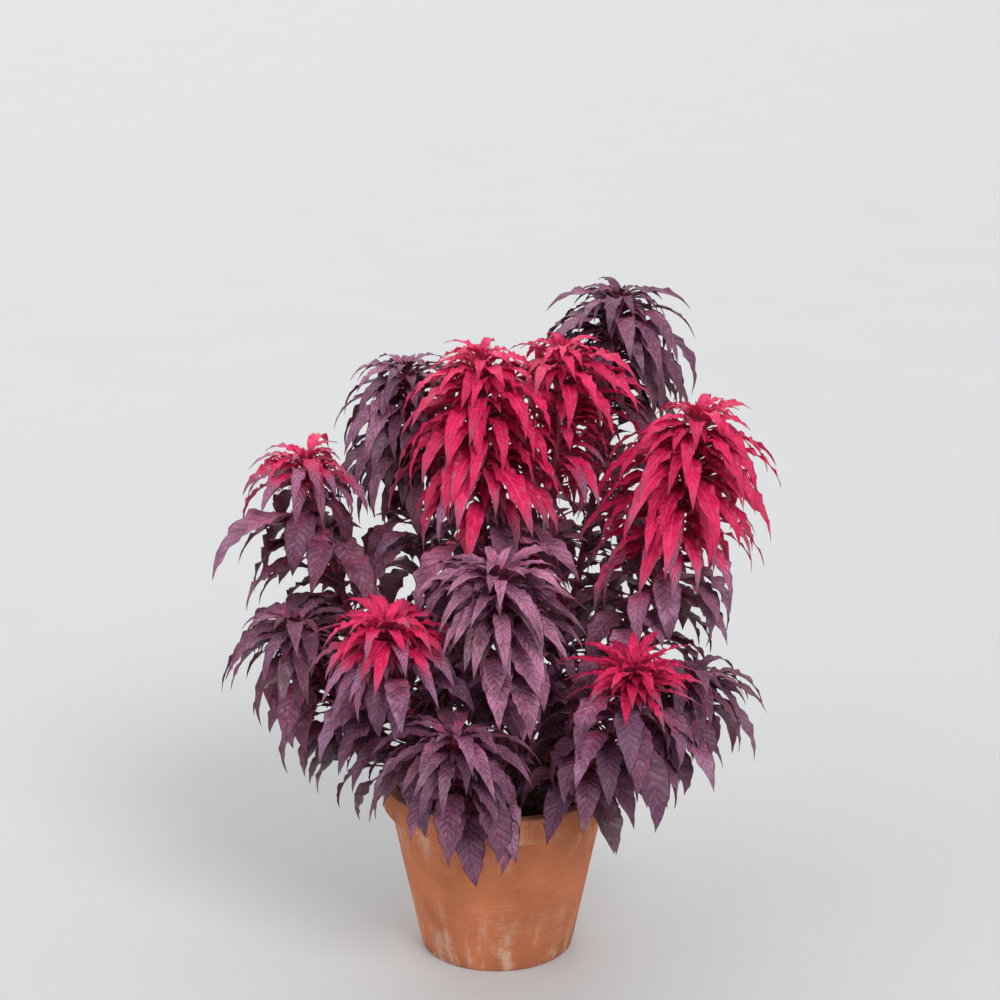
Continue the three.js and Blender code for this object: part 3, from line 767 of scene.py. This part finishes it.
def crimson_finish(leaf):
    """Crimson with painted shade in dark patches, pale ribs, painted glints and highlights, which turns plum
    on older leaves and towards their tips.
    """
    f = LeafFinish("crimson leaf", leaf)
    # Painted shade in dark patches, together with each leaf's own brighter or darker tone
    base = f.blend(f.cloud.step(0.34, 0.66) * 0.6 + f.tone * 0.45, leaf.crimson_dark, leaf.crimson)
    base = f.blend(f.patch.step(0.60, 0.38) * 0.4, base, leaf.crimson_dark)
    # Painted glints near the margins and painted highlights on the raised parts, with the paler midribs and
    # veins
    painted_glints = f.speck.step(0.54, 0.68) * f.side.step(0.35, 0.9)
    shine = f.vein * 0.3 + f.midrib * 0.6 + painted_glints * 0.45 + f.quilt * f.patch.step(0.48, 0.70) * 0.4
    base = f.blend(shine, base, leaf.crimson_pale_and_highlight)
    turned = (f.along + f.age * 0.8 + f.cloud * 0.5 + f.tone * 0.3 + f.tinge).step(1.7, 2.15) * 0.85
    striped = f.side.step(0.35, 0.85) * f.other.step(0.55, 0.85) * f.age.step(0.25, 0.8)
    # The plum of older parts has painted sheen on its raised parts and painted shade between them
    old = f.blend(f.quilt, leaf.plum_deep, leaf.painted_lilac_sheen)
    base = f.blend(turned + striped * f.patch.step(0.36, 0.52) * 0.7, base, old)
    base = f.blend((1.0 - f.is_upper) * 0.4, base, leaf.crimson_pale_and_highlight)
    return f.blade_surface(base, brightness=0.56, unevenness=0.9, roughness=0.40,
                           Specular_IOR_Level=0.25, Subsurface_Weight=0.4, Subsurface_Scale=0.003,
                           Subsurface_Radius=(1.0, 0.2, 0.35))


def plum_finish(leaf):
    """Plum, pale rose or dark wine, with painted sheen and painted highlights on raised parts, deep veins,
    painted shade in dark patches and a flush near the petiole.
    """
    f = LeafFinish("plum leaf", leaf)
    base = f.blend(f.tone.step(0.15, 0.85), leaf.plum, leaf.rosy)
    # Painted sheen over some leaves
    base = f.blend(f.other.step(0.45, 1.0) * f.cloud.step(0.38, 0.60) * 0.6, base, leaf.painted_lilac_sheen)
    base = f.blend(f.tinge, base, leaf.wine)
    base = f.blend(f.tinge * -0.9, base, leaf.pale)
    old = f.age * 0.9 + f.other * 0.9 + f.cloud * 0.7 - 1.45
    base = f.blend(old * 1.6, base, leaf.plum_green)
    flush = f.along.step(0.65, -0.1) * (1.15 - f.age).clamp() * (f.cloud * 0.5 + f.other).step(0.45, 1.0)
    base = f.blend(flush * 0.75, base, leaf.flush)
    # Painted highlights on the raised parts between the veins
    base = f.blend(f.quilt * f.patch.step(0.40, 0.66) * (0.50 + f.other * 0.35), base, leaf.painted_lilac_sheen)
    # The veins' and fine net's own dark colour, with painted shade in dark patches and specks
    veins_and_painted_shade = f.cloud.step(0.60, 0.36) * 0.45 + f.speck.step(0.60, 0.40) * 0.25 + f.vein * 0.45 + f.net * 0.2
    base = f.blend(veins_and_painted_shade, base, leaf.plum_deep)
    base = f.blend(f.side.step(0.86, 1.0) * 0.35 + f.midrib * 0.35 * f.is_upper, base, leaf.midrib)
    base = f.blend((1.0 - f.is_upper) * 0.6, base, leaf.rosy)
    return f.blade_surface(base, brightness=0.62, unevenness=0.5, roughness=0.46, Specular_IOR_Level=0.35)


def stem_finish(stem):
    """A fleshy ridged skin, red on the ridges, with fine streaks along it."""
    f = Finish("stem skin")
    place = f.place()
    around, along, swollen = f.parts(f.attribute("stem_place"))
    streak = f.noise(f.mapped(place, (1.0, 1.0, 0.06)), 260.0, 3.0)
    mottle = f.noise(place, 40.0, 3.0)
    ridge = around.maths("COSINE", around * STEM_RIDGES) * 0.5 + 0.5
    base = f.blend(ridge * 0.5 + streak * 0.7 + swollen * 0.4 - 0.25, stem.groove, stem.ridge)
    base = f.blend(along.step(0.16, 0.0) * mottle.step(0.35, 0.7) * 0.6, base, stem.flower_green)
    base = f.brighten(base, 0.8 + mottle * 0.4)
    normal = f.bump(streak * 0.7 + mottle * 0.3, 0.0009, 0.8)
    return f.surface(base, 0.38 + streak * 0.22, normal, Specular_IOR_Level=0.5)


def flower_finish(stem):
    """Knobbly heads of tiny bracts, red with green between."""
    f = Finish("flower clusters")
    place = f.place()
    bract = f.cells(place, 620.0)
    mottle = f.noise(place, 60.0, 3.0)
    green = bract.step(0.25, 0.75) * 0.8 + mottle.step(0.4, 0.65) * 0.3
    base = f.blend(green, stem.flower, stem.flower_green)
    normal = f.bump(1.0 - bract, 0.0016)
    return f.surface(base, 0.55 + bract * 0.2, normal)


def clay_finish(pot):
    """Fired clay with turning lines, damp patches, specks and a pale bloom near the foot and the rim."""
    f = Finish("fired clay")
    place = f.place()
    height = f.parts(place)[2]
    cloud = f.noise(place, 9.0, 6.0, 0.62)
    mottle = f.noise(place, 48.0, 5.0, 0.65)
    grain = f.noise(place, 420.0, 4.0, 0.7)
    drips = f.noise(f.mapped(place, (1.0, 1.0, 0.13)), 30.0, 5.0, 0.62)
    speck = f.cells(place, 210.0)
    pit = speck.step(0.17, 0.05) * mottle.step(0.46, 0.58)
    lines = f.noise(f.mapped(place, (0.03, 0.03, 1.0)), 300.0, 3.0)
    base = f.blend(cloud.step(0.36, 0.66) * 0.5 + mottle.step(0.50, 0.72) * 0.25, pot.clay, pot.clay_dark)
    damp = (height + mottle * 0.03).step(0.062, 0.014) * cloud.step(0.25, 0.55)
    base = f.blend(damp * 0.7, base, pot.clay_dark)
    crust = drips + (mottle - 0.5) * 0.35 + (grain - 0.5) * 0.25
    top, band = POT_HEIGHT * MM, (POT_HEIGHT - RIM_BAND) * MM
    foot = height.step(0.17, 0.03) * crust.step(0.47, 0.70)
    rim = height.step(top - 0.125, top - 0.04) * crust.step(0.49, 0.72)
    base = f.blend(foot * 0.6 + rim * 0.6, base, pot.bloom)
    band_edge = height.step(band + 0.0025, band - 0.0005) * height.step(band - 0.0045, band - 0.0015)
    worn = height.step(top - 0.0045, top) + band_edge
    base = f.blend(worn * grain.step(0.35, 0.6) * 0.4, base, pot.bloom)
    base = f.blend(pit * 0.6, base, pot.clay_dark)
    base = f.brighten(base, 0.70 + grain * 0.36 + lines * 0.16 + mottle * 0.1)
    relief = lines * 1.4 + grain * 0.45 + mottle * 0.8 - pit * 1.4 + crust.step(0.5, 0.7) * 0.3
    normal = f.bump(relief, pot.line_depth)
    return f.surface(base, 0.72 + grain * 0.22, normal, Specular_IOR_Level=0.3)


def crumb_finish(name, base_colour, other, scale):
    """Loose crumbs, two-toned and rough."""
    f = Finish(name)
    place = f.place()
    patch = f.noise(place, scale, 5.0, 0.65)
    fine = f.noise(place, scale * 7, 4.0, 0.7)
    base = f.blend(patch.step(0.4, 0.66), base_colour, other)
    base = f.brighten(base, 0.6 + fine * 0.8)
    return f.surface(base, 0.86 + fine * 0.12, f.bump(patch * 0.6 + fine, 0.0016), Specular_IOR_Level=0.25)


def floor_finish(stage):
    """A plain pale floor, a little uneven."""
    f = Finish("studio floor")
    place = f.place()
    soft = f.noise(place, 1.6, 3.0)
    fine = f.noise(place, 60.0, 3.0)
    base = f.brighten(stage.floor, 0.96 + soft * 0.05 + fine * 0.03)
    return f.surface(base, 0.62 + fine * 0.1, f.bump(fine, 0.0003, 0.3), Specular_IOR_Level=0.2)


# Patterns that are modelled once and copied

def leaf_pattern(sides, petiole_rings, blade_rings):
    """A flat closed leaf with its petiole, its tip along +X, and each corner's place on the leaf."""
    deselect()
    rings = petiole_rings + blade_rings
    bpy.ops.mesh.primitive_uv_sphere_add(segments=sides, ring_count=rings, radius=1,
                                         rotation=(0, math.radians(90), 0))
    pattern = bpy.context.object
    apply_place(pattern)
    edit(pattern)
    bpy.ops.transform.resize(value=(1, PATTERN_WIDTH, PATTERN_THICKNESS))
    leave_edit()
    x, y, z = (corners_of(pattern) / (1, PATTERN_WIDTH, PATTERN_THICKNESS)).T
    station = np.round(np.arccos(np.clip(-x, -1, 1)) / np.pi * rings)
    end = np.abs(x) > 0.9999
    turn = np.where(end, 0, np.arctan2(z, y))
    across, upper = np.cos(turn), np.sin(turn)
    blade = np.maximum(0, station - petiole_rings) / blade_rings
    along = np.where(blade > 0, blade ** RING_SPACING_POWER, station / petiole_rings - 1)
    add_attribute(pattern, "leaf_place", np.stack([along, across, upper], -1))
    return {"piece": pattern, "along": along, "across": across, "upper": upper, "end": end}


def leaf_corners(leaf, pattern, draws, settings, crinkle):
    """The pattern's corners bent along a leaf's own arch, with its fold, its waves and its midrib."""
    along, across, upper = pattern["along"], pattern["across"], pattern["upper"]
    blade, out = clamp01(along), np.abs(across)
    centre, side, normal = leaf_frame(leaf, along)

    def ripple(number):
        return np.sin(2 * np.pi * (number * blade + draws.draw()))

    is_blade = smooth_step(blade / BLADE_STARTS)
    stalk = PETIOLE_RADIUS * mix(*PETIOLE_TAPER, clamp01(along + 1)) * np.where(pattern["end"], 0, 1)
    outline = np.sin(np.pi * blade ** WIDEST_POWER) ** OUTLINE_POWER
    half = np.maximum(stalk * (1 - is_blade), leaf["width"] / 2 * outline)
    edge = out ** EDGE_POWER
    theta = 2 * np.pi * (blade - WAVE_UP_AT) / WAVE_LENGTH
    wave = -np.sign(across) * EDGE_WAVE * (0.5 * np.cos(theta) + 0.5 * np.cos(3 * theta))
    swell = np.sin(np.pi * blade) ** RIPPLE_POWER
    count = draws.around(*RIPPLES)
    for sign in (-1, 1):
        rippled = ripple(count) + 0.5 * ripple(SECOND_RIPPLE * count)
        wave += np.where(np.sign(across) == sign, crinkle * rippled, 0) * swell
    scallop = 1 + SCALLOP * ripple(SCALLOPS * count) * edge
    raised = half * (out ** FOLD_POWER * BLADE_FOLD + edge * wave) * is_blade
    thick = settings.thickness / MM * mix(MARGIN_THICKNESS, 1, 1 - out)
    middle = np.exp(-(across / RIB_WIDTH) ** 2) * (1 - blade)
    rib = settings.rib / MM * middle * (upper < -0.5)
    flat = mix(stalk, thick + rib, is_blade) * upper
    groove = RIB_GROOVE * middle * is_blade * (upper > 0.5)
    lifted = raised + flat - groove
    return (centre + side * (across * half * scallop)[:, None] + normal * lifted[:, None]) * MM


def tube_pattern(sides, rings):
    """An upright tube of one radius and one height, closed at both ends, raised ring by ring."""
    rows = [(1 / MM, i / (rings - 1) / MM) for i in range(rings)]
    pattern = raised_disc("tube_pattern", sides, rows)
    x, y, z = corners_of(pattern).T
    return {"piece": pattern, "turn": np.arctan2(y, x), "height": z}


def lump_pattern(name, seed, rough, flat):
    """A crumb: a ball of 80 faces with an uneven surface."""
    deselect()
    bpy.ops.mesh.primitive_ico_sphere_add(subdivisions=2, radius=1)
    pattern = named(bpy.context.object, name)
    corners = corners_of(pattern)
    shift = Vector((seed, 0, 0))
    pushed = [1 + rough * noise.noise(Vector(corner) * CRUMB_UNEVENNESS + shift) for corner in corners]
    set_corners(pattern, corners * np.array(pushed)[:, None])
    edit(pattern)
    bpy.ops.transform.resize(value=(1, 1 - flat * CRUMB_NARROWED, 1 - flat))
    leave_edit()
    return pattern


def cluster_pattern(draws):
    """A head of flowers: knobs crowded round its middle, about one radius wide."""
    knobs = []
    for i in range(KNOBS):
        deselect()
        height = 1 - 2 * (i + 0.5) / KNOBS
        angle = math.radians(GOLDEN_ANGLE * i)
        ring = math.sqrt(1 - height * height)
        middle = Vector((ring * math.cos(angle), ring * math.sin(angle), height)) * KNOB_PLACE
        radius = draws.around(*KNOB_SIZE)
        bpy.ops.mesh.primitive_ico_sphere_add(subdivisions=1, radius=radius, location=middle)
        knob = bpy.context.object
        edit(knob)
        bpy.ops.transform.translate(value=middle * KNOB_PUSH)
        leave_edit()
        apply_place(knob)
        knobs.append(knob)
    return join(knobs, "flower_pattern")


def turned_about(draws):
    """A random turn as a matrix."""
    yaw, pitch = draws.draw() * 2 * math.pi, math.acos(2 * draws.draw() - 1)
    about = np.array([[math.cos(yaw), -math.sin(yaw), 0], [math.sin(yaw), math.cos(yaw), 0], [0, 0, 1]])
    tip = np.array([[1, 0, 0], [0, math.cos(pitch), -math.sin(pitch)], [0, math.sin(pitch), math.cos(pitch)]])
    return about @ tip


# The pieces

def leaf_piece(name, groups, tinge, draws, settings, slot, material, replaced):
    """One mesh of leaves. Each group is a list of leaves, their pattern and their crinkle."""
    copies = []
    for leaves, pattern, crinkle in groups:
        for leaf in leaves:
            piece = copy_with(pattern["piece"], leaf_corners(leaf, pattern, draws, settings, crinkle))
            add_attribute(piece, "leaf_kind", (draws.draw(), leaf["age"], draws.around(tinge, TINGE_SPREAD)))
            copies.append(piece)
    finish_piece(join(copies, name), material, replaced)


class AMARANTH_OT_stage(bpy.types.Operator):
    """Set the floor, the soft lights and the camera"""
    bl_idname = "amaranth.stage"
    bl_label = "Stage"

    def execute(self, context):
        stage = context.scene.amaranth_stage
        floor = raised_disc("studio_floor", FLOOR_SIDES, [(FLOOR_RADIUS, -FLOOR_DEPTH), (FLOOR_RADIUS, 0)])
        floor.data.materials.append(floor_finish(stage))

        for name, (place, width, part) in LIGHTS.items():
            deselect()
            bpy.ops.object.light_add(type="SUN", location=place)
            light = context.object
            light.name = name
            light.data.angle = math.radians(width)
            light.data.energy = stage.key_power * part
            light.rotation_euler = (-Vector(place)).to_track_quat("-Z", "Y").to_euler()

        world = bpy.data.worlds.new("studio")
        context.scene.world = world
        world.use_nodes = True
        sky = next(node for node in world.node_tree.nodes if node.type == "BACKGROUND")
        sky.inputs["Color"].default_value = SKY_COLOUR
        sky.inputs["Strength"].default_value = SKY_STRENGTH

        deselect()
        ahead = Vector((0, math.cos(stage.elevation), -math.sin(stage.elevation)))
        above = Vector((0, math.sin(stage.elevation), math.cos(stage.elevation)))
        aim = Vector((MIDDLE_RIGHT * stage.scale, 0, SOIL_LEVEL * MM)) + above * (MIDDLE_UP * stage.scale)
        distance = stage.scale * stage.lens / SENSOR_WIDTH
        bpy.ops.object.camera_add(location=aim - ahead * distance)
        camera = context.object
        camera.name = "camera"
        camera.rotation_euler = ahead.to_track_quat("-Z", "Y").to_euler()
        camera.data.lens = stage.lens
        camera.data.sensor_width = SENSOR_WIDTH
        camera.data.clip_end = VIEW_DEPTH
        context.scene.camera = camera
        context.scene.view_settings.view_transform = "Standard"
        return {"FINISHED"}


def rounding(middle, height, radius, start, steps=4):
    """Rows of radius and height along a quarter turn about a point of a profile, from an angle in degrees."""
    turns = [math.radians(start + 90 * i / steps) for i in range(steps + 1)]
    return [(middle + radius * math.cos(turn), height + radius * math.sin(turn)) for turn in turns]


class AMARANTH_OT_pot(bpy.types.Operator):
    """Model the clay pot with its banded rim and drain holes"""
    bl_idname = "amaranth.pot"
    bl_label = "Pot"

    def execute(self, context):
        settings = context.scene.amaranth_pot
        band, top = POT_HEIGHT - RIM_BAND, POT_HEIGHT - LIP_ROUNDING
        neck = RIM_RADIUS - RIM_STEP - RIM_ROUNDING
        rows = [
            *rounding(BASE_RADIUS - FOOT_ROUNDING, FOOT_ROUNDING, FOOT_ROUNDING, -90),
            *[(mix(BASE_RADIUS, neck, i / OUTER_WALL_ROWS), mix(0, band, i / OUTER_WALL_ROWS))
              for i in range(1, OUTER_WALL_ROWS)],
            (neck, band - RIM_ROUNDING), (neck + NECK_STEP, band),
            *rounding(RIM_RADIUS - BAND_ROUNDING, band + BAND_ROUNDING, BAND_ROUNDING, -90),
            (RIM_RADIUS, POT_HEIGHT - RIM_BAND / 2),
            *rounding(RIM_RADIUS - LIP_ROUNDING, top, LIP_ROUNDING, 0),
            *rounding(pot_inside(POT_HEIGHT) + LIP_ROUNDING, top, LIP_ROUNDING, 90),
            *[(pot_inside(z), z) for z in (*INNER_WALL_ROWS, POT_FLOOR + FOOT_ROUNDING)],
            (pot_inside(POT_FLOOR) - FOOT_ROUNDING, POT_FLOOR),
        ]
        pot = raised_disc("clay_pot", POT_SIDES, rows)
        for i in range(DRAIN_HOLES):
            angle = 2 * math.pi * i / DRAIN_HOLES
            deselect()
            middle = (DRAIN_CIRCLE * MM * math.cos(angle), DRAIN_CIRCLE * MM * math.sin(angle), 0)
            bpy.ops.mesh.primitive_cylinder_add(vertices=DRAIN_SIDES, radius=DRAIN_RADIUS * MM,
                                                depth=DRILL_LENGTH * MM, location=middle)
            drill = context.object
            apply_modifier(pot, "BOOLEAN", operation="DIFFERENCE", object=drill)
            discard(drill)
        corners = corners_of(pot)
        turn = np.arctan2(corners[:, 1], corners[:, 0])
        height = corners[:, 2] / (POT_HEIGHT * MM)
        sway = OVAL_WAVE * np.sin(2 * turn + 0.6) + THREE_SIDED_WAVE * np.sin(3 * turn + 4 * height)
        radius = np.maximum(np.hypot(corners[:, 0], corners[:, 1]), 1e-6)
        corners[:, :2] *= (1 - np.abs(sway) * height * MM / radius)[:, None]
        set_corners(pot, corners)
        finish_piece(pot, clay_finish(settings), ["pot"], SHARP_POT_EDGE)
        return {"FINISHED"}


def soil_height(x, y, lumps):
    """The soil's surface at a place, in metres."""
    from_middle = math.hypot(x, y) / (pot_inside(SOIL_LEVEL) * MM)
    sunk = SOIL_CROWN * smooth_step((from_middle - SOIL_LEVEL_SHARE) / (1 - SOIL_LEVEL_SHARE))
    uneven = sum(noise.noise(Vector((x, y, z)) * number) * height for number, height, z in LUMPS)
    return float((SOIL_LEVEL - sunk) * MM + uneven * lumps)


def scattered(pattern, count, sizes, reach, lumps, draws):
    """Copies of a crumb, each in its own size and turned its own way, on the soil clear of the stems."""
    feet = np.array([row[1] for row in SHOOTS]) * MM
    shape = corners_of(pattern)
    copies = []
    for _ in range(count):
        radius, angle = reach * MM * math.sqrt(draws.draw()), draws.draw() * 2 * math.pi
        x, y = radius * math.cos(angle), radius * math.sin(angle)
        size = mix(*sizes, draws.draw() ** CRUMB_SIZE_POWER) * MM
        if np.hypot(*(feet - (x, y)).T).min() < STEM_FOOT_RADIUS * MM + size:
            continue
        place = np.array([x, y, soil_height(x, y, lumps) + size * CRUMB_SUNK])
        copies.append(copy_with(pattern, shape @ turned_about(draws).T * size + place))
    discard(pattern)
    return copies


class AMARANTH_OT_soil(bpy.types.Operator):
    """Model the potting soil with its crumbs, bark bits and grit"""
    bl_idname = "amaranth.soil"
    bl_label = "Soil"

    def execute(self, context):
        settings = context.scene.amaranth_soil
        draws = Draws(SOIL_SEED)
        foot = pot_inside(POT_FLOOR) - FOOT_ROUNDING - 2 * SEAT
        wall = pot_inside(SOIL_LEVEL - SOIL_CROWN) - 2 * SEAT
        edge = SOIL_LEVEL - SOIL_CROWN - SOIL_EDGE
        rows = [(mix(foot, wall, up), mix(POT_FLOOR + SEAT, edge, up)) for up in (0, 0.5, 1)]
        rows += [(wall * (1 - i / SOIL_RINGS), SOIL_LEVEL) for i in range(1, SOIL_RINGS)]
        soil = raised_disc("potting_soil", SOIL_SIDES, rows)
        corners = corners_of(soil)
        for corner in corners:
            if corner[2] > (edge - 1) * MM:
                corner[2] = soil_height(corner[0], corner[1], settings.lumps)
        set_corners(soil, corners)
        material = crumb_finish("potting soil", settings.soil, settings.bark, SOIL_PATCHES)
        finish_piece(soil, material, ["soil"])

        # Each kind's name, share of the crumbs, range of sizes, roughness, flatness, finish and colours
        kinds = (
            ("soil_crumbs", 0.66, (1.2, 5.0), 0.5, 0.2, "crumbled soil", settings.soil, settings.bark),
            ("soil_bark", 0.24, (2.5, 7.5), 0.3, 0.72, "bark bits", settings.bark, settings.soil),
            ("soil_grit", 0.10, (1.0, 2.6), 0.35, 0.1, "pale grit", settings.grit, OTHER_GRIT),
        )
        reach = wall - CRUMB_WALL_CLEAR
        for name, part, sizes, rough, flat, finish, first, second in kinds:
            pattern = lump_pattern(name + "_pattern", len(name), rough, flat)
            copies = scattered(pattern, round(settings.crumbs * part), sizes, reach, settings.lumps, draws)
            finish_piece(join(copies, name), crumb_finish(finish, first, second, CRUMB_PATCHES))
        return {"FINISHED"}


class AMARANTH_OT_stems(bpy.types.Operator):
    """Model the fleshy ridged stems"""
    bl_idname = "amaranth.stems"
    bl_label = "Stems"

    def execute(self, context):
        settings = context.scene.amaranth_stem
        material = stem_finish(settings)
        pattern = tube_pattern(STEM_SIDES, STEM_RINGS)
        turn, height = pattern["turn"], pattern["height"]
        below = mix(-STEM_IN_SOIL, 0, clamp01(height / STEM_BURIED_SHARE))
        along = clamp01((height - STEM_BURIED_SHARE) / (1 - STEM_BURIED_SHARE))
        ridged = settings.ridge_height * smooth_step((1 - along) / RIDGES_FADE_OVER)
        tapered = 1 - STEM_TAPER * smooth_step((along - STEM_TAPER_FROM) / (1 - STEM_TAPER_FROM))
        for number, plant in enumerate(plants()):
            name = plant["shoot"]["name"]
            centre = stem_points(plant["shoot"], along)
            centre[:, 2] += below
            leaves = plant["stem"]["leaves"] + plant["fountain"]["leaves"]
            nodes = np.array([leaf["root"][2] for leaf in leaves])
            from_node = np.subtract.outer(centre[:, 2], nodes) / STEM_NODE_REACH
            swollen = np.exp(-from_node ** 2).max(axis=1)
            radius = mix(STEM_FOOT_RADIUS, STEM_TIP_RADIUS, along) * (1 + settings.swelling * swollen)
            radius *= (1 + ridged * np.cos(STEM_RIDGES * turn + number)) * tapered
            corners = centre + np.stack([radius * np.cos(turn), radius * np.sin(turn), 0 * turn], -1)
            stem = named(copy_with(pattern["piece"], corners * MM), name + "_cane")
            add_attribute(stem, "stem_place", np.stack([turn + number / STEM_RIDGES, along, swollen], -1))
            finish_piece(stem, material, [name + "_stem", name + "_fountain"])
        discard(pattern["piece"])
        return {"FINISHED"}


def leaf_groups(node, large, filling, crinkle):
    """A node's plain leaves and those that fill in, each with their pattern and their crinkle."""
    leaves, plain = node["leaves"], node["plain"]
    return [(leaves[:plain], large, crinkle), (leaves[plain:], filling, crinkle)]


class AMARANTH_OT_leaves(bpy.types.Operator):
    """Model the plum leaves along the stems and the fountains of leaves on top"""
    bl_idname = "amaranth.leaves"
    bl_label = "Leaves"

    def execute(self, context):
        settings = context.scene.amaranth_leaf
        finishes = {"crimson": crimson_finish(settings), "plum": plum_finish(settings)}
        large, filling, small = leaf_pattern(*LARGE), leaf_pattern(*FILLING), leaf_pattern(*SMALL)
        draws = Draws(LEAF_SEED)
        for plant in plants():
            name, tint = plant["shoot"]["name"], plant["shoot"]["tint"]
            tinge = TINGE.get(name, USUAL_TINGE)
            top_tinge = TURNED.get(name, USUAL_TURNED) if tint == "crimson" else tinge
            crinkle = settings.crinkle * (1 if tint == "crimson" else PLUM_CRINKLE)
            groups = [*leaf_groups(plant["fountain"], large, filling, crinkle),
                      (plant["buds"], small, BUD_CRINKLE), (plant["inner"], small, INNER_CRINKLE)]
            leaf_piece(name + "_fountain_leaves", groups, top_tinge, draws, settings, tint + "_leaf",
                       finishes[tint], [name + "_fountain"])
            groups = [*leaf_groups(plant["stem"], large, filling, settings.crinkle * LOW_CRINKLE),
                      (plant["sprigs"], small, SPRIG_CRINKLE)]
            leaf_piece(name + "_lower_leaves", groups, tinge, draws, settings, "plum_leaf", finishes["plum"],
                       [name + "_stem"])
        discard(large["piece"], filling["piece"], small["piece"])
        return {"FINISHED"}


class AMARANTH_OT_flowers(bpy.types.Operator):
    """Model the knobbly flower clusters in the axils of the lower leaves"""
    bl_idname = "amaranth.flowers"
    bl_label = "Flower clusters"

    def execute(self, context):
        draws = Draws(CLUSTER_SEED)
        pattern = cluster_pattern(draws)
        shape = corners_of(pattern)
        copies = []
        for plant in plants():
            for leaf in plant["stem"]["leaves"][:plant["stem"]["plain"]]:
                heading = leaf["heading"] + draws.around(0, CLUSTER_TURN)
                along = (leaf["root"][2] - SOIL_LEVEL) / plant["shoot"]["head"][2]
                out = mix(STEM_FOOT_RADIUS, STEM_TIP_RADIUS, along) + CLUSTER_OUT
                size = draws.around(*CLUSTER_SIZE)
                middle = leaf["root"] + (out * math.cos(heading), out * math.sin(heading), CLUSTER_UP)
                copies.append(copy_with(pattern, (shape @ turned_about(draws).T * size + middle) * MM))
        discard(pattern)
        piece = join(copies, "flower_clusters")
        finish_piece(piece, flower_finish(context.scene.amaranth_stem))
        return {"FINISHED"}


class AMARANTH_PT_panel(bpy.types.Panel):
    """Lists the amaranth's operators and settings"""
    bl_label = "Amaranth"
    bl_idname = "AMARANTH_PT_panel"
    bl_space_type = "VIEW_3D"
    bl_region_type = "UI"
    bl_category = "Amaranth"

    def draw(self, context):
        for operator in OPERATORS:
            self.layout.operator(operator.bl_idname)
        for name in SETTINGS:
            box = self.layout.box()
            box.label(text=name.title())
            group = getattr(context.scene, "amaranth_" + name)
            for key in type(group).__annotations__:
                box.prop(group, key)


OPERATORS = (AMARANTH_OT_stage, AMARANTH_OT_pot, AMARANTH_OT_soil, AMARANTH_OT_stems, AMARANTH_OT_leaves,
             AMARANTH_OT_flowers)
SETTINGS = {"leaf": LeafSettings, "stem": StemSettings, "pot": PotSettings, "soil": SoilSettings,
            "stage": StageSettings}


def register():
    for group in SETTINGS.values():
        bpy.utils.register_class(group)
    for name, group in SETTINGS.items():
        setattr(bpy.types.Scene, "amaranth_" + name, bpy.props.PointerProperty(type=group))
    for item in (*OPERATORS, AMARANTH_PT_panel):
        bpy.utils.register_class(item)


def unregister():
    for item in reversed((*OPERATORS, AMARANTH_PT_panel)):
        bpy.utils.unregister_class(item)
    for name, group in SETTINGS.items():
        delattr(bpy.types.Scene, "amaranth_" + name)
        bpy.utils.unregister_class(group)


def main():
    register()
    bpy.ops.amaranth.stage()
    bpy.ops.amaranth.pot()
    bpy.ops.amaranth.soil()
    bpy.ops.amaranth.stems()
    bpy.ops.amaranth.leaves()
    bpy.ops.amaranth.flowers()


if __name__ == "__main__":
    main()
